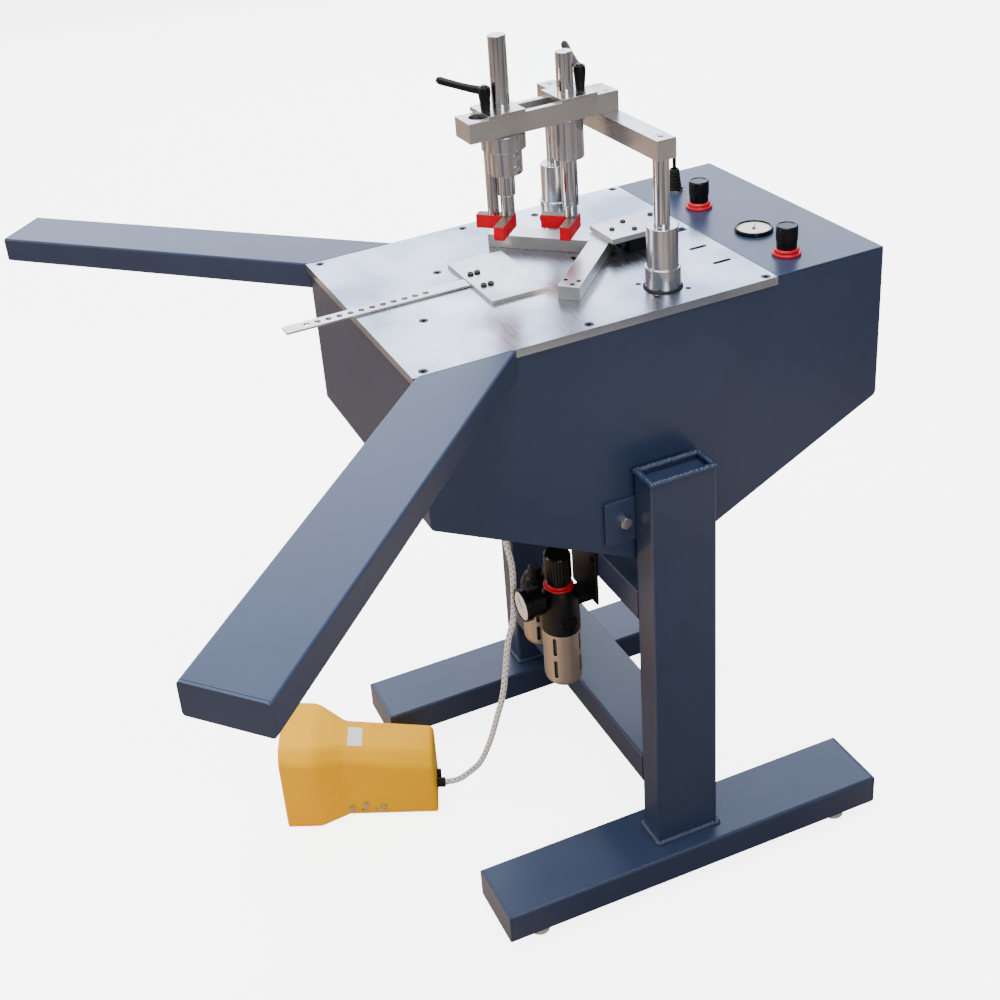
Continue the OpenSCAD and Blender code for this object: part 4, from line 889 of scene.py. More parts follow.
@dataclass
class Studio:
    """The camera, the lights and the floor, as the photograph shows them.

    Attributes:
        eye: The camera's place in metres.
        right, up, back: The camera's own axes.
        lens_mm, sensor_mm: Focal length and width of the sensor.
        slide: Shift of the sensor sideways and upwards.
        clip: Nearest and farthest distance that it sees.
        floor_side, floor_drop: Side of the floor and its depth under the feet.
    """

    eye: Point = (1.595886, -0.648503, 1.749125)
    right: Point = (0.31587, 0.94022, -0.1273)
    up: Point = (-0.36467, 0.24418, 0.89855)
    back: Point = (0.87592, -0.2374, 0.42)
    lens_mm: float = 49.301
    sensor_mm: float = 36
    slide: Flat = (0.2, -0.2)
    clip: Flat = (0.05, 60)
    floor_side: float = 400
    floor_drop: float = 0.5 * MM

    def place_camera(self) -> None:
        """Stands the camera where the photograph was taken."""
        data = bpy.data.cameras.new("Photographer")
        data.sensor_width, data.lens = self.sensor_mm, self.lens_mm
        data.shift_x, data.shift_y = self.slide
        data.clip_start, data.clip_end = self.clip
        camera = bpy.data.objects.new("Photographer", data)
        bpy.context.scene.collection.objects.link(camera)
        turn = Matrix([self.right, self.up, self.back]).transposed().to_4x4()
        camera.matrix_world = Matrix.Translation(self.eye) @ turn
        bpy.context.scene.camera = camera

    def softbox(self, name: str, place: Point, aim: Point, size: Flat, watts: float, tint: str) -> None:
        """Hangs one soft light.

        Args:
            name: Name of the light.
            place: Where it hangs.
            aim: The point it faces.
            size: Its two sides in metres.
            watts: Its power.
            tint: Its colour, sRGB hex.
        """
        data = bpy.data.lights.new(name, "AREA")
        data.shape = "RECTANGLE"
        data.size, data.size_y = size
        data.energy = watts
        data.color = linear(tint)[:3]
        light = bpy.data.objects.new(name, data)
        bpy.context.scene.collection.objects.link(light)
        way = Vector(aim) - Vector(place)
        light.matrix_world = Matrix.Translation(place) @ way.to_track_quat("-Z", "Y").to_matrix().to_4x4()

    def floor(self) -> None:
        """Lays a plain pale floor, a white lit sheet that shines back a little warm light."""
        bpy.ops.mesh.primitive_plane_add(size=self.floor_side, location=(0, 0, -self.floor_drop))
        floor = taken("studio_floor")
        sheet, graph, shader = Graph.of_material("Studio sheet")
        place = graph.add("TexCoord", output="Object")
        side = graph.span(graph.add("SeparateXYZ", {"Vector": place}), -0.8, 1.6)
        depth = graph.span(graph.noise(place, 0.8, 1.0), 0.42, 0.58, 0.25, 1.0)
        tint = graph.blend(side, linear("#dcc0a6"), linear("#c0b6af"))
        shade = graph.blend(1.0, tint, depth, blend_type="MULTIPLY")
        graph.feed(shader, {"Roughness": 0.85, "Base Color": shade})
        white = {
            "Base Color": linear("#ffffff"), "Roughness": 0.9, "Specular IOR Level": 0.0,
            "Emission Color": linear("#ffffff"), "Emission Strength": 5.0,
        }
        seen = graph.add("LightPath", output="Is Camera Ray")
        mix = graph.add("MixShader", {0: seen, 1: shader.outputs[0], 2: graph.add("BsdfPrincipled", white)})
        graph.feed(sheet.node_tree.nodes["Material Output"], {"Surface": mix})
        floor.data.materials.append(sheet)
        floor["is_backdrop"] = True

    def build(self) -> None:
        """Makes the camera, the lights, the pale world and the floor."""
        self.place_camera()
        self.softbox("Overhead", (0.2, -0.3, 4.0), (0, 0, 0.6), (2.6, 2.6), 170, "#fffdf8")
        self.softbox("Window", (-4.6, 1.7, 3.3), (0, 0, 0.9), (7.6, 4.0), 400, "#dfe9ff")
        self.softbox("Operator side", (-1.5, -3.4, 1.9), (0, -0.1, 0.6), (1.6, 1.6), 80, "#ffe4cb")
        self.softbox("Camera side", (3.4, -0.4, 2.2), (0, 0, 0.6), (1.4, 1.4), 50, "#fff4ea")
        world = bpy.data.worlds.new("Pale studio")
        bpy.context.scene.world = world
        world.use_nodes = True
        graph = Graph(world.node_tree)
        strength = graph.span(graph.add("LightPath", output="Is Camera Ray"), 0, 1, 0.42, 6.0)
        sky = world.node_tree.nodes["Background"]
        graph.feed(sky, {"Color": linear("#f2f4f8"), "Strength": strength})
        self.floor()


@dataclass
class Stand(Assembly):
    """The welded stand: feet, uprights, cross beams and what fastens them.

    Attributes:
        corner: Outer corner radius of the tubes.
        wall: Wall of the tubes.
        bead_pitch: Spacing of a weld's ripples.
        bead_room: What a weld adds to an upright's width.
        cap_drop: Depth of an upright's cap under its rim.
        tab_z, tab_half: Middle and half height of a mounting tab.
        pad_mm: Radius of a leveller's pad in millimetres.
    """

    corner: float = 4 * MM
    wall: float = 4 * MM
    bead_pitch: float = 4 * MM
    bead_room: float = 6 * MM
    cap_drop: float = 10 * MM
    tab_z: float = 636 * MM
    tab_half: float = 34 * MM
    pad_mm: float = 16.5

    def tube(self, name: str, low: Vector, high: Vector, axis: int) -> Piece:
        """Makes a rectangular tube, open at both ends, with rounded long edges.

        Args:
            name: Name of the tube.
            low: Lowest corner.
            high: Highest corner.
            axis: The tube's own axis, 0 to 2.

        Returns:
            The tube.
        """
        tube = opened(block(name, low, high), along(axis))
        bevelled(tube, along(axis), self.corner, 5)
        return soften(walled(tube, self.wall), 0.4 * MM, 1, 50)

    def end_plate(self, name: str, low: Sequence[float], high: Sequence[float], axis: int) -> Piece:
        """Makes a plate that closes a tube, with the tube's corners."""
        plate = bevelled(block(name, low, high), along(axis), self.corner, 5)
        return soften(plate, 0.9 * MM, 3)

    def weld(self, name: str, low: Vector, high: Vector, z: float) -> Piece:
        """Lays a rippled weld bead round a rectangle at one height.

        Args:
            name: Name of the bead.
            low: Lowest corner of the rectangle.
            high: Highest corner of the rectangle.
            z: Height of the plate that it is welded to.

        Returns:
            The bead, a row of overlapping scallops.
        """
        bpy.ops.mesh.primitive_uv_sphere_add(segments=8, ring_count=6, radius=self.bead_pitch * 1.15)
        scallop = taken(name)
        corners = [(low.x, low.y), (high.x, low.y), (high.x, high.y), (low.x, high.y)]
        places = []
        for i, (x0, y0) in enumerate(corners):
            x1, y1 = corners[(i + 1) % 4]
            count = round(math.hypot(x1 - x0, y1 - y0) / self.bead_pitch)
            for k in range(count):
                share = k / count
                wobble = 0.3 * MM * math.sin(7.3 * (k + 11 * i))
                place = shift(x0 + (x1 - x0) * share, y0 + (y1 - y0) * share, z + 1.5 * MM + wobble)
                places.append(place @ Matrix.Diagonal((1.15, 1.15, 0.95 + 0.08 * math.sin(3.1 * k), 1)))
        bead = scattered(name, scallop, places)
        bpy.ops.object.shade_smooth()
        return bead

    def end_plates(self) -> None:
        """Makes the plates that close the feet, the uprights and the arms."""
        ends = []
        for side in ("right", "left"):
            low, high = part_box("floor_foot_" + side)
            for y0, y1 in ((high.y, high.y + self.wall), (low.y - self.wall, low.y)):
                ends.append(self.end_plate("foot_end", (low.x, y0, low.z), (high.x, y1, high.z), 1))
            low, high = self.upright_box(side)
            inset = Vector((self.wall, self.wall, 0))
            cap_z = high.z - self.cap_drop
            bottom, top = Vector((low.x, low.y, cap_z - self.wall)), Vector((high.x, high.y, cap_z))
            ends.append(self.end_plate("upright_cap", bottom + inset, top - inset, 2))
        ends += SupportArm(self.frame, self.paints).end_plates()
        self.dress(joined("tube_ends", ends), Paintwork.SLATE, "tube_end_plates")

    def upright_box(self, side: str) -> tuple[Vector, Vector]:
        """Gives the room of an upright's tube, without its tab and its weld.

        Args:
            side: Right or left.

        Returns:
            Its lowest and its highest corner.
        """
        beam_low, beam_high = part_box("lower_cross_beam")
        low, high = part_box("upright_" + side)
        left, right = (low.x + self.bead_room, beam_low.x)
        if side == "right":
            left, right = beam_high.x, high.x - self.bead_room
        return Vector((left, beam_low.y, low.z)), Vector((right, beam_high.y, high.z))

    def uprights(self) -> None:
        """Makes both uprights, each with its mounting tab and its weld beads."""
        body_low, body_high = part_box("cabinet_body")
        inset = Vector((0.5 * self.wall, 0.5 * self.wall, 0))
        for side in ("right", "left"):
            node = "upright_" + side
            low, high = self.upright_box(side)
            tube = self.tube("upright_tube", low, high, 2)
            bead = self.weld("upright_weld", low, high, low.z)
            rim = self.weld("upright_rim_weld", low + inset, high - inset, high.z - 3.5 * MM)
            x0, x1 = (body_high.x, low.x) if side == "right" else (high.x, body_low.x)
            foot = (x0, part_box(node)[0].y, self.tab_z - self.tab_half)
            tab = self.end_plate("mounting_tab", foot, (x1, high.y - 10 * MM, self.tab_z + self.tab_half), 0)
            self.dress(joined(node + "_welded", [tube, bead, rim, tab]), Paintwork.SLATE, node)

    def levellers(self) -> None:
        """Makes the four levelling feet in pale nylon: a pad, a stud and a nut."""
        low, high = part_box("levelling_feet")
        wide, radius = self.pad_mm, self.pad_mm * MM
        steps = over(
            0, (0, wide - 1.5), (1, wide), (5, wide), (8, wide - 4), (8, 6), (14, 6), (14, 10.8), (20, 10.8)
        )
        places = [
            shift(x, y, 0) for x in (low.x + radius, high.x - radius) for y in (low.y + radius, high.y - radius)
        ]
        feet = scattered("levellers", turned("leveller_pad", steps, 40), places)
        self.dress(soften(feet, 0.5 * MM), Paintwork.PALE, "levelling_feet")

    def build(self) -> None:
        """Builds the stand; its screws are black on the table and bright in the mounting tabs."""
        tubes = {"floor_foot_right": 1, "floor_foot_left": 1, "lower_cross_beam": 0, "upper_cross_beam": 0}
        for node, axis in tubes.items():
            self.dress(self.tube(node + "_tube", *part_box(node), axis), Paintwork.SLATE, node)
        self.uprights()
        self.end_plates()
        self.levellers()
        screws = self.eased("frame_fasteners", Paintwork.OXIDE, 0.3, 1)
        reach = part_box("cabinet_body")[1].x
        self.two_tone(screws, Paintwork.ZINC, lambda c, _n: abs(c.x) > reach)


@dataclass
class SupportArm(Assembly):
    """The two arms that carry long frame sides.

    Attributes:
        width, height, length: Size of an arm, its length along its front edge.
        plate: Thickness of the end plate.
    """

    width: float = 98 * MM
    height: float = 40 * MM
    length: float = 574 * MM
    plate: float = 4 * MM

    def own_frame(self) -> Matrix:
        """Finds the place of the right arm: its front edge's root, turned by 45 degrees.

        Returns:
            The arm's own place.
        """
        low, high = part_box("cabinet_body")
        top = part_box("table_plate")[1].z
        return shift(high.x, low.y, top - self.height) @ spun(-45, "Z")

    def end_plates(self) -> list[Piece]:
        """Makes the plates at both arms' tips.

        Returns:
            The right plate and the left one.
        """
        stand = Stand(self.frame, self.paints)
        tip = stand.end_plate("arm_end", (self.length - self.plate, 0, 0), (self.length, self.width, self.height), 0)
        moved(tip, self.own_frame())
        return [tip, soften(copied(tip, "arm_end_left", MIRROR_X))]

    def build(self) -> None:
        """Builds both arms, mitred against the cabinet's sides."""
        stand = Stand(self.frame, self.paints, corner=3.5 * MM, wall=3 * MM)
        reach = Vector((-self.width, 0, 0)), Vector((self.length - self.plate, self.width, self.height))
        arm = stand.tube("arm_tube", *reach, 0)
        with editing(arm, Select.FACE):
            bpy.ops.mesh.bisect(plane_co=(0, 0, 0), plane_no=(1, 1, 0), clear_inner=True)
        moved(arm, self.own_frame())
        left = copied(arm, "support_arm_left_tube", MIRROR_X)
        self.dress(soften(arm), Paintwork.SLATE, "support_arm_right")
        self.dress(soften(left), Paintwork.SLATE, "support_arm_left")


@dataclass
class Cabinet(Assembly):
    """The folded cabinet with its V bottom, its cover and the table plate.

    Attributes:
        knee_z: Height where the front and rear faces start to slope.
        fold: Radius of a sheet's fold.
        sheet: Thickness of the sheet.
    """

    knee_z: float = 712 * MM
    fold: float = 5 * MM
    sheet: float = 3 * MM

    def shell(self) -> Piece:
        """Makes the cabinet: a block cut to a V bottom, folded edges, walls inwards.

        Returns:
            The finished shell.
        """
        low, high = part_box("cabinet_body")
        table_low, table_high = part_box("table_plate")
        shell = block("cabinet_shell", low, (high.x, high.y, table_low.z))
        for edge_y in (low.y, high.y):
            run, rise = edge_y - self.middle, self.knee_z - low.z
            slope = (0, rise * math.copysign(1, run), -abs(run))
            with editing(shell, Select.FACE):
                bpy.ops.mesh.bisect(plane_co=(0, self.middle, low.z), plane_no=slope, clear_outer=True, use_fill=True)
        with editing(shell, Select.FACE, upward):
            bpy.ops.mesh.bisect(plane_co=(0, table_high.y, 0), plane_no=(0, 1, 0))
        with editing(shell, Select.FACE, lambda c, n: upward(c, n) and c.y > table_high.y):
            pull((0, 0, high.z - table_low.z))
        opened(shell, upward)
        limit = table_low.z - 1 * MM
        bevelled(shell, lambda c, d: abs(d.x) > ALIGNED and c.z < limit, self.fold, 5)
        return soften(walled(shell, self.sheet), 1.2 * MM, 3, 50)

    def build(self) -> None:
        """Builds the cabinet, its cover and the table."""
        self.dress(self.shell(), Paintwork.SLATE, "cabinet_body")
        self.eased("rear_cover", Paintwork.SLATE, 1.2, 3)
        self.eased("table_plate", Paintwork.TABLE, 0.7)


@dataclass
class Press(Assembly):
    """The columns, the bridge with its beam and the two hold-downs.

    Attributes:
        sides: Sides of a round.
        sleeve_low, sleeve_high: Radius and height of a column's lower sleeve, and radius of its upper one.
        piston_rod, barrel: Radius of a piston rod and of the lift cylinder under the table.
        chamber: Radius of its bore, its floor and its head.
        front_rod, rear_rod: Radius and tail radius of a rod, height of its step, distance in front of the middle.
        front_hub, rear_hub, collar: Radius of a hub and of the clamp collar.
        guide: Radius of the guide rod and its distance from the front rod.
        stud: Radius of a lever's stud and its depth in the front hub.
        stud_offset: Distance from a rod to its lever's stud.
        nut: Radius and height of the rear lever's nut.
        gap: Room round the stud's end and the nut.
    """

    sides: int = 96
    sleeve_low: Flat = (23.5 * MM, 31 * MM)
    sleeve_high: float = 20.75 * MM
    piston_rod: float = 10.5 * MM
    barrel: float = 32 * MM
    chamber: Point = (25 * MM, 10 * MM, 8 * MM)
    front_rod: tuple[float, ...] = (12 * MM, 9.5 * MM, 1060 * MM, 110 * MM)
    rear_rod: tuple[float, ...] = (11.5 * MM, 9.5 * MM, 1022 * MM, 15 * MM)
    front_hub: float = 30 * MM
    rear_hub: float = 22 * MM
    collar: float = 24 * MM
    guide: Flat = (8 * MM, 21 * MM)
    stud: Flat = (4 * MM, 14 * MM)
    stud_offset: float = 22.5 * MM
    nut: Flat = (5.5 * MM, 8 * MM)
    gap: float = 0.3 * MM

    def column(self, side: str) -> None:
        """Makes a lift cylinder with its two sleeves, its piston rod and its seal ring.

        Args:
            side: Right or left.
        """
        node, rod = "lift_cylinder_" + side, "piston_rod_" + side
        low, high = heights(node)
        under, top = heights("table_plate")
        rod_low, rod_high = heights(rod)
        place = self.centre(node)
        bore = self.piston_rod + RUNNING
        wide, floor, head = self.chamber
        (sleeve, height), slim, barrel = self.sleeve_low, self.sleeve_high, self.barrel
        section = [
            (bore, high), (slim, high), (slim, top + height), (sleeve, top + height), (sleeve, under),
            (barrel, under), (barrel, low), (0, low), (0, low + floor), (wide, low + floor),
            (wide, under - head), (bore, under - head),
        ]
        self.dress(soften(bored(node + "_turned", section, self.sides), 0.9 * MM, 3), Paintwork.TURNED, node, place)
        piston, head_z = wide - RUNNING, rod_low + 15 * MM
        steps = [(rod_low, piston), (head_z, piston), (head_z, self.piston_rod), (rod_high, self.piston_rod)]
        ground = soften(turned(rod + "_ground", steps, self.sides), 0.6 * MM)
        self.dress(ground, Paintwork.CHROME, rod, place)
        inner = sleeve + RUNNING
        lip_r, lip_top = 26 * MM, top + 2.6 * MM
        lip = [(inner, top), (lip_r, top), (lip_r, top + 1.4 * MM), (lip_r - 1.4 * MM, lip_top), (inner, lip_top)]
        seal = soften(bored("column_seal_" + side, lip, self.sides), 0.2 * MM, 1)
        self.dress(seal, Paintwork.RUBBER, node, place, instead=False)

    def beside(self, sizes: Sequence[float], away: float = 0) -> Matrix:
        """The place of a hold-down rod's axis, or a distance behind it."""
        return shift(0, self.middle - sizes[3] + away, 0)

    def rod(self, end: str, sizes: Sequence[float]) -> None:
        """Makes a ground hold-down rod with a thinner lower end.

        Args:
            end: Front or rear.
            sizes: Radius, tail radius, height of the step and place of the rod.
        """
        node = "hold_down_rod_" + end
        low, high = heights(node)
        wide, thin, step, _forward = sizes
        rod = turned(node + "_ground", [(low, thin), (step, thin), (step, wide), (high, wide)], self.sides)
        self.dress(soften(rod, 1.0 * MM, 3), Paintwork.CHROME, node, self.beside(sizes))

    def ring(self, name: str, outer: float, inner: float, low: float, high: float) -> Piece:
        """Makes a bored disc between two heights, with room round its shaft."""
        inner += RUNNING
        return bored(name, [(inner, high), (outer, high), (outer, low), (inner, low)], self.sides)

    def front_guides(self) -> None:
        """Makes the front hub, the split collar under it and the guide rod beside the rod."""
        (radius, away), (stud, depth) = self.guide, self.stud
        aside = shift(-away * math.sqrt(0.5), -away * math.sqrt(0.5), 0)
        place = self.beside(self.front_rod)
        for node, outer, ease in (("hub_front", self.front_hub, 0.8 * MM), ("clamp_collar", self.collar, 0.6 * MM)):
            low, high = heights(node)
            piece = self.ring(node + "_turned", outer, self.front_rod[0], low, high)
            drilled(piece, moved(pin("guide_drill", low - OVERRUN, high + OVERRUN, radius + RUNNING), aside))
            if node == "hub_front":
                cutter = pin("stud_drill", high - depth - self.gap, high + OVERRUN, stud + RUNNING)
                moved(cutter, shift(0, -self.stud_offset, 0))
            else:
                cutter = block("slit", (8 * MM, -1 * MM, low - OVERRUN), (30 * MM, 1 * MM, high + OVERRUN))
                moved(cutter, spun(140, "Z"))
            self.dress(soften(drilled(piece, cutter), ease), Paintwork.TURNED, node, place)
        head = turned("collar_screw", over(0, (22, 4.5), (25.4, 4.5), (25.4, 2.2), (23.6, 2.2)), FEW)
        soften(head, 0.4 * MM)
        hex_key = pin("collar_socket", 23 * MM, 23.9 * MM, 2.1 * MM, HEX)
        for share in (0.27, 0.72):
            at = place @ shift(0, 0, low + share * (high - low)) @ spun(16, "Z") @ spun(90, "Y")
            for master, paint in ((head, Paintwork.ZINC), (hex_key, Paintwork.OXIDE)):
                name = f"{master.name}_{round(100 * share)}"
                self.dress(copied(master, name, at), paint, "clamp_collar", instead=False)
        bpy.data.objects.remove(head)
        bpy.data.objects.remove(hex_key)
        guide = soften(pin("guide_rod_ground", *heights("guide_rod"), radius), 0.6 * MM)
        self.dress(guide, Paintwork.CHROME, "guide_rod", place @ aside)

    def rear_guides(self) -> None:
        """Makes the rear hub with the pocket for its lever's nut."""
        low, high = heights("hub_rear")
        hub = self.ring("hub_rear_turned", self.rear_hub, self.rear_rod[0], low, high)
        radius, height = self.nut
        front = self.stud_offset - radius - self.gap
        back = (2 * radius, front + 4 * radius, high + OVERRUN)
        drilled(hub, block("nut_pocket", (-2 * radius, front, high - height), back))
        nut = self.ring("stud_nut", radius, self.stud[0], high - height, high)
        moved(nut, shift(0, self.stud_offset, 0))
        hub = joined("hub_rear_turned", [soften(hub, 0.8 * MM), soften(nut, 0.3 * MM, 1)])
        self.dress(hub, Paintwork.TURNED, "hub_rear", self.beside(self.rear_rod))

    def lever(self, end: str, turn: float, rise: float, place: Matrix) -> None:
        """Makes an indexing lever: a steel stud, a tapered hub and a moulded arm.

        Args:
            end: Front or rear.
            turn: Direction of its arm in degrees.
            rise: Slope of its arm in degrees.
            place: The place of its stud.
        """
        node = "clamp_lever_" + end
        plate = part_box("slider_plate_" + end)[1].z
        stem = pin(node + "_stud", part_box(node)[0].z, plate + 2 * MM, self.stud[0], FEW)
        steps = over(
            plate, (0.3, 6.3), (3, 6.5), (24, 8.3), (30, 8.1), (32, 6.8), (32, 4.9), (33.6, 4.6), (34, 4.0)
        )
        hub = turned("lever_hub", steps, SOME)
        slope = math.tan(math.radians(rise))
        outline = (
            (0, 0, 5.8, 6.0), (9, 0.4, 5.4, 5.8), (22, 0.9, 4.9, 5.4), (40, 0.8, 4.8, 5.2), (56, 0.3, 5.1, 5.4),
            (64, 0, 5.4, 5.6), (68, 0, 4.7, 4.9), (70.2, 0, 3.1, 3.2), (71, 0, 1.2, 1.2),
        )
        arm = drawn("lever_arm", [(x * MM, (x * slope - dip) * MM, y * MM, z * MM) for x, dip, y, z in outline])
        moved(arm, shift(0, 0, plate + 26 * MM) @ spun(turn, "Z"))
        lever = joined(node + "_moulded", [soften(hub, 0.5 * MM), soften(arm)])
        self.dress(lever, Paintwork.NYLON, node, place)
        self.dress(soften(stem, 0.3 * MM), Paintwork.ZINC, node, place, instead=False)

    def build(self) -> None:
        """Builds the press; its pads have soft red sides and a top painted brown as painted shade."""
        for side in ("right", "left"):
            self.column(side)
        self.eased("bridge_bar", Paintwork.BRIDGE, 0.8)
        self.eased("slotted_beam", Paintwork.BAR, 0.8)
        self.eased("bridge_screws", Paintwork.ZINC, 0.3, 1)
        self.rod("front", self.front_rod)
        self.rod("rear", self.rear_rod)
        for end in ("front", "rear"):
            self.eased("slider_plate_" + end, Paintwork.BRIDGE, 0.5)
            pad = self.eased("pad_" + end, Paintwork.PAD, 1.4, 3)
            # The pads' up-facing faces get a dull brown painted shade
            self.two_tone(pad, Paintwork.PAD_TOP, lambda _c, n: n.z > 0.95)
        self.front_guides()
        self.rear_guides()
        self.lever("front", 217, 9, self.beside(self.front_rod, -self.stud_offset))
        self.lever("rear", 168, 15, self.beside(self.rear_rod, self.stud_offset))


@dataclass
class TableFittings(Assembly):
    """What guides the work on the table."""

    def build(self) -> None:
        """Dresses the insert, the stop bar, the fences and their carriage."""
        bars = {"guide_insert": 0.5, "carriage_plate": 0.5, "fence_right": 0.6, "fence_left": 0.6, "stop_bar": 0.3}
        for node, width in bars.items():
            self.eased(node, Paintwork.BAR, width)
        self.eased("carriage_block", Paintwork.GLOSS)
        self.eased("fence_screws", Paintwork.OXIDE, 0.3, 1)


@dataclass
class ControlPanel(Assembly):
    """The knobs, the gauge and the toggle on the rear cover.

    Attributes:
        ring_r, ring_h: Radius and height of a knob's red ring.
        unit_ring: Radius, bore and height of the air unit's red ring.
        stem_r: Radius of a knob's stem.
        sides: Sides of a knob, three for each grip flute.
        marks: Marks on the gauge's dial.
        mark_long, mark_short, mark_half: Length of a main and of a lesser mark, and their half width.
        hand_turn: Direction of the gauge's hand at rest in degrees.
    """

    ring_r: float = 19.3 * MM
    ring_h: float = 10 * MM
    unit_ring: Point = (23 * MM, 9 * MM, 8 * MM)
    stem_r: float = 6 * MM
    sides: int = MOST
    marks: int = 21
    mark_long: float = 1.9 * MM
    mark_short: float = 1.2 * MM
    mark_half: float = 0.3 * MM
    hand_turn: float = 140

    def knob(self, node: str) -> None:
        """Makes a moulded regulator knob with grip flutes.

        Args:
            node: The knob's node.
        """
        low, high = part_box(node)
        r, top = (high.x - low.x) / 2, high.z
        base = self.cover + self.ring_h + 0.3 * MM
        height = top - base
        steps = [
            (base, r - 1.6 * MM), (base + 1 * MM, r - 0.9 * MM), (base + 0.3 * height, r - 0.9 * MM),
            (base + 0.34 * height, r - 0.2 * MM), (top - 4 * MM, r), (top - 1.2 * MM, r),
            (top, r - 1.2 * MM), (top, r - 3.2 * MM), (top - 0.9 * MM, r - 3.8 * MM),
        ]
        cap = turned(node + "_cap", steps, self.sides)
        fluted(cap, base + 0.36 * height, top - 4.5 * MM, self.sides, 0.5 * MM)
        stem = pin(node + "_stem", low.z, base, self.stem_r, FEW)
        knob = joined(node + "_moulded", [soften(cap, 0.25 * MM, 1), soften(stem)])
        self.dress(knob, Paintwork.GLOSS, node, self.centre(node))

    def two_tiers(self, node: str, base: float, wide: float, bore: float, height: float) -> Piece:
        """Makes one ring: a wide foot with a groove above it and a narrower collar.

        Args:
            node: The knob that it goes round.
            base: Height of its foot's underside.
            wide: Radius of its foot.
            bore: Radius of the knob's stem.
            height: Its height.

        Returns:
            The ring in its place.
        """
        foot, top = base + 0.46 * height, base + height
        slim, inner = 0.86 * wide, bore + RUNNING
        section = [
            (inner, base), (wide - 1 * MM, base), (wide, base + 1 * MM), (wide, foot - 0.8 * MM),
            (wide - 0.8 * MM, foot), (slim - 1 * MM, foot), (slim - 1 * MM, foot + 0.8 * MM),
            (slim, foot + 1.2 * MM), (slim, top - 1.4 * MM), (slim - 1.4 * MM, top), (inner, top),
        ]
        return moved(soften(bored("locking_ring", section), 0.4 * MM), self.centre(node))

    def red_rings(self) -> None:
        """Makes the red locking rings, each in two tiers, and the one on the air unit."""
        panel = (self.cover, self.ring_r, self.stem_r, self.ring_h)
        rings = [self.two_tiers("regulator_knob_" + side, *panel) for side in ("left", "right")]
        rings.append(self.two_tiers("air_unit_knob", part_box("knob_rings")[0].z, *self.unit_ring))
        self.dress(joined("locking_rings", rings), Paintwork.RED, "knob_rings")

    def gauge(self) -> None:
        """Makes the panel gauge: bezel, dial and marks."""
        node = "gauge_body"
        low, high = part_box(node)
        place, cover, top = self.centre(node), self.cover, high.z
        r, dial_z = (high.x - low.x) / 2, top - 2.6 * MM
        inner = r - 3.2 * MM
        steps = [
            (low.z, r - 3.5 * MM), (cover, r - 3.5 * MM), (cover, r), (cover + 4 * MM, r),
            (top, r - 1.2 * MM), (top, inner), (dial_z, inner - 0.6 * MM),
        ]
        self.dress(soften(turned("gauge_bezel", steps, MOST), 0.4 * MM), Paintwork.GLOSS, node, place)
        face_z = dial_z + 0.2 * MM
        dial = soften(turned("gauge_dial", [(dial_z, inner - 0.7 * MM), (face_z, inner - 0.8 * MM)]))
        self.dress(dial, Paintwork.DIAL, node, place, instead=False)
        marks, reach, half = [], inner - 2 * MM, self.mark_half
        for i in range(self.marks):
            start = reach - (self.mark_short if i % 5 else self.mark_long)
            mark = block("gauge_mark", (start, -half, face_z), (reach, half, face_z + 0.06 * MM))
            marks.append(moved(mark, spun(225 - 270 * i / (self.marks - 1), "Z")))
        self.dress(joined("gauge_marks", marks), Paintwork.INK, node, place, instead=False)

    def hand(self) -> None:
        """Makes the panel gauge's hand: a tapered blade with a boss over its pivot."""
        low, high = heights("gauge_needle")
        blade = block("gauge_blade", (-5.5 * MM, -1 * MM, low), (18.4 * MM, 1 * MM, high))
        with editing(blade, Select.VERT, lambda c, _n: c.x > 0):
            bpy.ops.transform.resize(value=(1, 0.35, 1), center_override=(0, 0, 0))
        boss = turned("gauge_boss", [(low, 3.2 * MM), (high + 0.5 * MM, 2.8 * MM)], FEW)
        hand = joined("gauge_hand", [soften(blade, 0.1 * MM, 1), soften(boss, 0.1 * MM, 1)])
        self.dress(hand, Paintwork.INK, "gauge_needle", self.centre("gauge_body") @ spun(self.hand_turn, "Z"))

    def build(self) -> None:
        """Builds the control panel; the toggle has a bright nut under its ribbed boot."""
        self.knob("regulator_knob_left")
        self.knob("regulator_knob_right")
        self.red_rings()
        self.gauge()
        self.hand()
        boot = self.eased("toggle_boot", Paintwork.RUBBER, 0.4)
        nut_z = self.cover + 3.1 * MM
        self.two_tone(boot, Paintwork.ZINC, lambda c, _n: c.z < nut_z)
        self.eased("toggle_lever", Paintwork.GLOSS, 0.2)


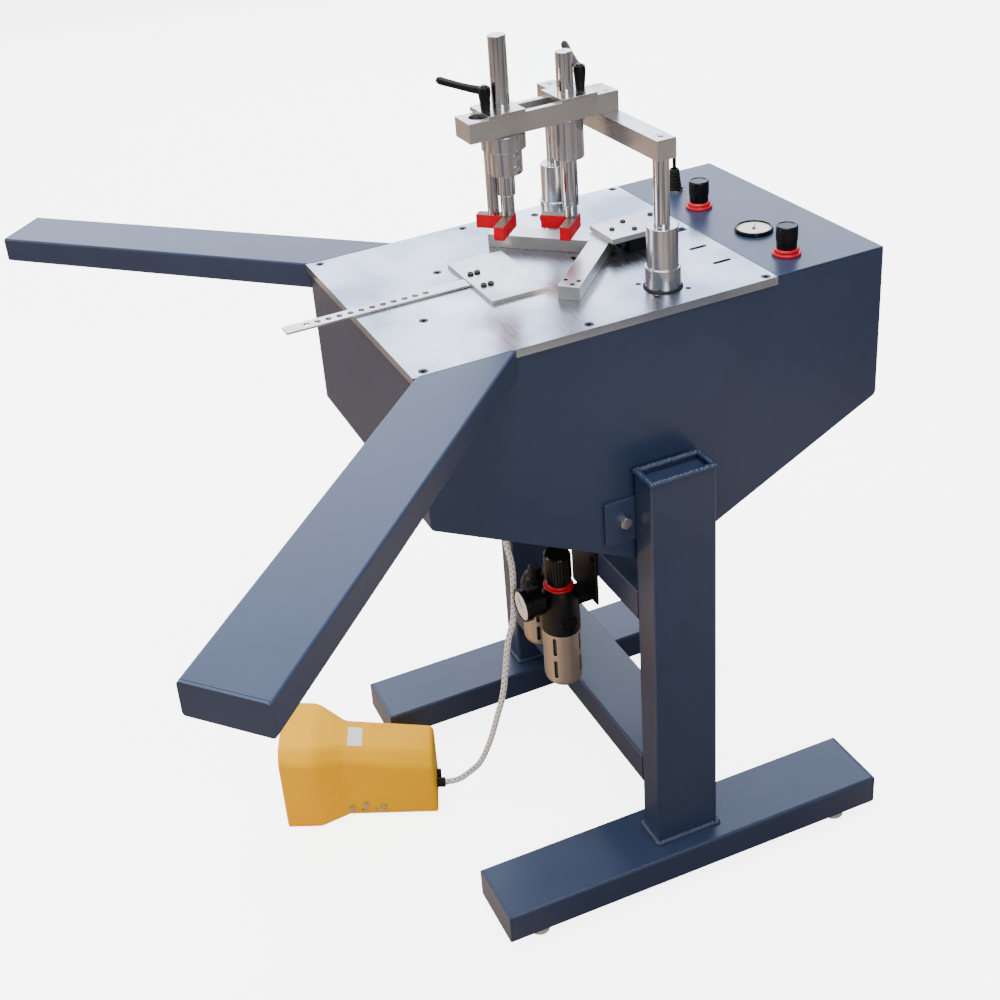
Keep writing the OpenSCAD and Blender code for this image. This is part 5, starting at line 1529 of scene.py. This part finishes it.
@dataclass
class AirUnit(Assembly):
    """The filter regulator, the lubricator and their gauge under the cabinet.

    Attributes:
        radii, lengths, windows: Radius and height of the filter's and the lubricator's bowl guard, and the
            direction of the first column of windows in each.
        forward: Distance of their axes in front of the middle.
        places: Distance of the two axes from the middle plane.
        stem_r: Radius of the knob's stem.
        link: Half width, lowest and highest point of the link over the bodies' foot.
        plate: Half width of the bracket's plate, its thickness, its lowest and highest point under the beam's top.
        slot: Half width and length of a window in a guard.
        curve, wall: Outer radius of a guard's bottom edge, and its sheet.
    """

    radii: Flat = (29 * MM, 24 * MM)
    lengths: Flat = (100 * MM, 82 * MM)
    windows: Flat = (-49, -28)
    forward: float = 97 * MM
    places: Flat = (60 * MM, -18 * MM)
    stem_r: float = 9 * MM
    link: Point = (17 * MM, 8 * MM, 40 * MM)
    plate: tuple[float, ...] = (38 * MM, 4 * MM, 100 * MM, 4 * MM)
    slot: Flat = (2.8 * MM, 33 * MM)
    curve: float = 13 * MM
    wall: float = 1.4 * MM

    @property
    def joint(self) -> float:
        """Height where the guards meet the castings."""
        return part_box("bowl_guards")[1].z

    @property
    def top(self) -> float:
        """Height of the regulator casting's top."""
        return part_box("knob_rings")[0].z

    def at(self, which: int) -> Matrix:
        """The place of one of the two axes."""
        return shift(self.places[which], self.middle - self.forward, 0)

    def bodies(self) -> None:
        """Makes both cast bodies with their link, the inlet's boss and the bracket's arm."""
        foot, top, bore = self.joint, self.top, self.stem_r + RUNNING
        r, s = self.radii
        section = [
            (bore, top), (20.5 * MM, top), (21.5 * MM, top - 4 * MM), (25.5 * MM, top - 11 * MM),
            (28.4 * MM, top - 22 * MM), (29.4 * MM, top - 36 * MM), (r + 1 * MM, foot + 20 * MM),
            (r + 1 * MM, foot), (0, foot), (0, top - 12 * MM), (bore, top - 12 * MM),
        ]
        regulator = moved(soften(bored("regulator_casting", section, MOST), 0.8 * MM), self.at(0))
        steps = [
            (foot, s + 0.6 * MM), (foot + 30 * MM, s + 0.6 * MM), (foot + 44 * MM, s - 5 * MM),
            (foot + 48 * MM, s - 11 * MM), (foot + 56 * MM, s - 12 * MM), (foot + 60 * MM, s - 14 * MM),
        ]
        lubricator = moved(soften(turned("lubricator_casting", steps), 1.0 * MM), self.at(1))
        half, low, high = self.link
        x, left = self.places
        y = self.middle - self.forward
        link = block("unit_link", (left, y - half, foot + low), (x, y + half, foot + high))
        port = shift(x, y, foot + (low + high) / 2) @ spun(90, "Y")
        boss = moved(pin("inlet_boss", 0, 30 * MM, 15 * MM, 8), port @ spun(22.5, "Z"))
        drilled(boss, moved(pin("port_drill", 16 * MM, 36 * MM, 6.6 * MM, SOME), port))
        beam_low, beam_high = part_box("upper_cross_beam")
        arm = block("bracket_arm", (x - half, y, top - 34 * MM), (x + half, beam_low.y, top - 20 * MM))
        wide, thick, under, over_z = self.plate
        low_corner = (x - wide, beam_low.y - thick, beam_high.z - under)
        plate = block("bracket_plate", low_corner, (x + wide, beam_low.y, beam_high.z - over_z))
        parts = [regulator, lubricator] + [soften(p, 1.5 * MM, 3) for p in (link, boss, arm, plate)]
        self.dress(joined("air_unit_castings", parts), Paintwork.NYLON, "air_unit_body")

    def gauge(self) -> None:
        """Makes the small gauge that faces the operator."""
        steps = over(0, (0, 8), (32, 8), (32, 22), (52, 22), (54, 25), (65, 25), (65, 22.4), (63.4, 22))
        case = soften(turned("unit_gauge_case", steps), 0.6 * MM)
        dial = soften(turned("unit_gauge_dial", over(0, (63.4, 21.8), (63.7, 21.6))))
        hand = block("unit_gauge_hand", (-0.6 * MM, -4 * MM, 63.8 * MM), (0.6 * MM, 15 * MM, 64.3 * MM))
        hand = soften(moved(hand, spun(40, "Z")), 0.2 * MM, 1)
        place = self.at(0) @ shift(0, 0, self.top - 16 * MM) @ spun(90, "X")
        for piece, paint in ((case, Paintwork.GLOSS), (dial, Paintwork.DIAL), (hand, Paintwork.INK)):
            self.dress(piece, paint, "air_unit_body", place, instead=False)

    def guard(self, name: str, which: int) -> Piece:
        """Makes a pressed bowl guard with two rows of windows.

        Args:
            name: Name of the guard.
            which: Which of the two axes it stands on.

        Returns:
            The guard in its place.
        """
        radius, length, top = self.radii[which], self.lengths[which], self.joint
        low = top - length

        def bend(curve: float, *angles: float) -> list[Flat]:
            """Points round the bottom edge."""
            return [
                (radius - self.curve + curve * math.cos(a), low + self.curve - curve * math.sin(a)) for a in angles
            ]

        quarter = math.pi / 2
        outer = bend(self.curve, 0, 0.26, 0.52, 0.79, 1.05, 1.31, quarter)
        inner = bend(self.curve - self.wall, quarter, 1.05, 0.52, 0)
        section = [(radius - self.wall, top), (radius, top), *outer, (0, low), (0, low + self.wall), *inner]
        guard = bored(name, section, MOST)
        half, tall = self.slot
        scale = length / self.lengths[0]
        for row in (5 * MM, 48 * MM):
            for k in range(4):
                high = top - row * scale
                cutter = block("window", (radius - 4 * MM, -half, high - tall * scale), (radius + 4 * MM, half, high))
                bevelled(cutter, along(0), 2.4 * MM, 4)
                drilled(guard, moved(cutter, spun(self.windows[which] + 90 * k, "Z")))
        return moved(soften(guard, 0.25 * MM, 1), self.at(which))

    def bowls(self) -> None:
        """Makes both guards and the smoky bowls inside them."""
        guards = [self.guard("filter_guard", 0), self.guard("lubricator_guard", 1)]
        self.dress(joined("bowl_guards_pressed", guards), Paintwork.GUARD, "bowl_guards")
        for which in (0, 1):
            r, low = self.radii[which] - 3 * MM, self.joint - self.lengths[which]
            steps = [(low + 4 * MM, r - 12 * MM), (low + 14 * MM, r), (self.joint, r)]
            bowl = soften(turned(f"sight_bowl_{which}", steps, SOME), 2 * MM)
            self.dress(bowl, Paintwork.BOWL, "bowl_guards", self.at(which), instead=False)

    def knob(self) -> None:
        """Makes the air unit's knob, a fluted cap on its stem."""
        low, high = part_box("air_unit_knob")
        r, top, stem = (high.x - low.x) / 2, high.z, self.stem_r
        base = self.top + 8.3 * MM
        steps = [
            (low.z, stem), (base, stem), (base, r - 2.5 * MM), (base + 3 * MM, r - 1.5 * MM),
            (base + 8 * MM, r - 1.2 * MM), (base + 10 * MM, r), (top - 3 * MM, r - 0.4 * MM), (top, r - 3 * MM),
        ]
        knob = turned("air_unit_knob_moulded", steps, MOST)
        fluted(knob, base + 12 * MM, top - 4 * MM, MOST, 0.6 * MM)
        self.dress(soften(knob, 0.5 * MM, 1), Paintwork.GLOSS, "air_unit_knob", self.at(0))

    def build(self) -> None:
        """Builds the air unit."""
        self.bodies()
        self.gauge()
        self.bowls()
        self.knob()


@dataclass
class FootPedal(Assembly):
    """The enamelled foot pedal on the floor.

    Attributes:
        place: Middle of its rear, from the uprights' centre.
        turn: Direction of its mouth in degrees.
        stations: Distance from the rear, half width and roof height of each cross section.
        base: Thickness of the base plate.
        wall: Wall of the casting.
        chamfer: Width of the roof's sloping edges.
        plate_x: Distance of the blank plate from the rear.
        fixings: Distance and height of each nut, then of each stud end, in millimetres.
    """

    place: Flat = (-58 * MM, -284 * MM)
    turn: float = -113.6
    stations: tuple[Point, ...] = (
        (0, 48 * MM, 114 * MM), (147 * MM, 48 * MM, 132.5 * MM),
        (193 * MM, 73 * MM, 150.1 * MM), (250 * MM, 73 * MM, 155 * MM),
    )
    base: float = 6 * MM
    wall: float = 4 * MM
    chamfer: float = 17 * MM
    plate_x: float = 116 * MM
    fixings: tuple[tuple[Flat, ...], ...] = (((90, 16), (118, 22), (142.5, 16)), ((103, 11), (125, 10)))

    def own_frame(self) -> Matrix:
        """The pedal's own place and direction."""
        return shift(self.place[0], self.place[1] + self.middle, 0) @ spun(self.turn, "Z")

    def housing(self) -> None:
        """Makes the cast housing: a block drawn out to its mouth, sloped, rounded and hollowed."""
        (x0, half, roof0), *others = self.stations
        reach = others[0][0]
        shell = block("pedal_casting", (x0, -half, self.base), (reach, half, roof0))
        with editing(shell, Select.FACE, lambda _c, n: n.x > ALIGNED):
            for x, wide, _roof in others[1:]:
                pull((x - reach, 0, 0), (1, wide / half, 1), (x, 0, 0))
                half, reach = wide, x
        for x, _wide, roof in others:
            with editing(shell, Select.VERT, lambda c, _n, x=x: abs(c.x - x) < 1 * MM and c.z > 0.5 * roof0):
                bpy.ops.transform.translate(value=(0, 0, roof - roof0))
        bevelled(shell, lambda c, d: abs(d.x) > 0.5 and c.z > 0.7 * roof0, self.chamfer, 1)
        opened(shell, lambda _c, n: n.x > 0.95 or n.z < -0.9)
        walled(soften(shell, 7.5 * MM, 5, 12), self.wall)
        self.dress(soften(shell, 0.5 * MM, 1, 60), Paintwork.YELLOW, "pedal_housing", self.own_frame())

    def blank_plate(self) -> None:
        """Sticks a blank white plate on the roof."""
        (_x0, _half0, roof0), (first, _half1, roof1) = self.stations[:2]
        slope = (roof1 - roof0) / first
        plate = block("pedal_blank_plate", (0, -15 * MM, 0), (24 * MM, 28 * MM, 0.5 * MM))
        soften(bevelled(plate, along(2), 1.5 * MM, 3), 0.15 * MM, 1)
        height = roof0 + self.plate_x * slope + 0.1 * MM
        lie = shift(self.plate_x, 0, height) @ spun(-math.degrees(math.atan(slope)), "Y")
        self.dress(plate, Paintwork.DIAL, "pedal_housing", self.own_frame() @ lie, instead=False)

    def nuts(self) -> None:
        """Makes the bright nuts along the housing's sides and the two stud ends under them."""
        nut = turned("pedal_nut", over(0, (-0.5, 5.8), (4, 5.8), (4.4, 5), (4.4, 3.4), (7, 3.2)), HEX)
        stud = turned("pedal_stud", over(0, (-1, 2.6), (5, 2.6), (5.6, 2)), 20)
        sets = []
        for master, spots in zip((soften(nut, 0.4 * MM), soften(stud, 0.3 * MM, 1)), self.fixings):
            places = [
                self.own_frame() @ shift(x * MM, side * self.stations[0][1], z * MM) @ spun(-90 * side, "X")
                for side in (1, -1)
                for x, z in spots
            ]
            sets.append(scattered("pedal_set", master, places))
        self.dress(joined("pedal_nuts", sets), Paintwork.ZINC, "pedal_pins", instead=False)

    def build(self) -> None:
        """Builds the pedal."""
        self.housing()
        self.blank_plate()
        self.nuts()
        self.eased("pedal_base", Paintwork.YELLOW, 2.8, 4)
        self.eased("pedal_treadle", Paintwork.RUBBER, 1)
        self.eased("pedal_pins", Paintwork.ZINC, 0.5)
        self.eased("hose_fittings", Paintwork.NYLON, 0.8)


@dataclass
class AirHose(Assembly):
    """The braided hose from the pedal up to the cabinet.

    Attributes:
        diameter: Outer diameter of the sleeve.
        steps: Rings between two points.
        sides: Sides of the round.
        twist: Length of the hose in one turn of its yarns.
        route: Points of its route from the uprights' centre, in millimetres.
    """

    diameter: float = 9.5 * MM
    steps: int = 8
    sides: int = 20
    twist: float = 30 * MM
    route: tuple[Point, ...] = (
        (-44, -277, 28), (-34, -256, 34), (-25, -238, 50), (-10, -222, 80), (5, -208, 132),
        (15, -196, 187), (20, -184, 238), (21, -170, 331), (20, -157, 375), (20, -153, 459),
        (20, -159, 508), (20, -164, 560), (20, -165, 600),
    )

    def path(self) -> list[Vector]:
        """Draws a smooth line through the route's points.

        Returns:
            The line's points in metres.
        """
        points = [Vector(p) * MM + Vector((0, self.middle, 0)) for p in self.route]
        line = []
        for i in range(len(points) - 1):
            a, b, c, d = (points[max(0, min(len(points) - 1, i + k))] for k in (-1, 0, 1, 2))
            for k in range(self.steps):
                t = k / self.steps
                line.append(
                    b + t * (c - a) / 2 + t * t * (2 * a - 5 * b + 4 * c - d) / 2 + t**3 * (3 * b - 3 * c + d - a) / 2
                )
        return line + [points[-1]]

    def rings(self, line: Sequence[Vector]) -> tuple[list[Vector], list[float]]:
        """Lays rings of vertices along the hose.

        Args:
            line: The points of the hose's middle line.

        Returns:
            The vertices, ring by ring, and the yarns' turns at each ring.
        """
        verts, turns, run = [], [], 0.0
        for i, p in enumerate(line):
            ahead = (line[min(len(line) - 1, i + 1)] - line[max(0, i - 1)]).normalized()
            side = ahead.cross(Vector((1, 0, 0))).normalized()
            up = side.cross(ahead)
            run += (p - line[i - 1]).length if i else 0.0
            turns.append(run / self.twist)
            for k in range(self.sides):
                a = 2 * math.pi * k / self.sides
                verts.append(p + self.diameter / 2 * (math.cos(a) * side + math.sin(a) * up))
        return verts, turns

    def build(self) -> None:
        """Builds the hose as a tube with a UV map along its braid."""
        line, sides = self.path(), self.sides
        verts, turns = self.rings(line)
        faces = []
        for i in range(len(line) - 1):
            for k in range(sides):
                a, b = i * sides + k, i * sides + (k + 1) % sides
                faces.append((a, b, b + sides, a + sides))
        last = (len(line) - 1) * sides
        ends = [tuple(range(sides - 1, -1, -1)), tuple(range(last, last + sides))]
        mesh = bpy.data.meshes.new("air_hose_braided")
        mesh.from_pydata(verts, [], faces + ends)
        braid = mesh.uv_layers.new(name="braid").data
        for face in mesh.polygons[: len(faces)]:
            ring, k = divmod(face.index, sides)
            for loop, (dk, di) in zip(face.loop_indices, ((0, 0), (1, 0), (1, 1), (0, 1))):
                braid[loop].uv = ((k + dk) / sides, turns[ring + di])
        hose = bpy.data.objects.new("air_hose_braided", mesh)
        bpy.context.scene.collection.objects.link(hose)
        activate(hose)
        bpy.ops.object.shade_smooth_by_angle(angle=math.radians(50))
        self.dress(hose, Paintwork.BRAID, "air_hose")


@dataclass
class WedgeDriver(Assembly):
    """The driver and the magazine inside the cabinet."""

    def build(self) -> None:
        """Dresses the hidden works."""
        self.eased("driver_cylinder", Paintwork.TURNED, 1)
        self.eased("driver_ram", Paintwork.CHROME, 0.4)
        self.eased("wedge_magazine", Paintwork.TURNED)
        self.eased("magazine_pusher", Paintwork.ZINC, 0.3)


def corners() -> list[list[float]]:
    """Lowest and highest corner of what is shown, as plain numbers."""
    return [list(corner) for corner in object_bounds()]


def main() -> None:
    """Builds the scene over the frame."""
    logging.basicConfig(level=logging.INFO, format="%(name)s %(message)s")
    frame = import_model()
    Studio().build()
    paints = {paint: paint.value.build() for paint in Paintwork}
    AirHose(frame, paints).build()
    for assembly in (
        Stand, SupportArm, Cabinet, TableFittings, Press, ControlPanel, AirUnit, FootPedal, WedgeDriver
    ):
        assembly(frame, paints).build()


if __name__ == "__main__":
    main()
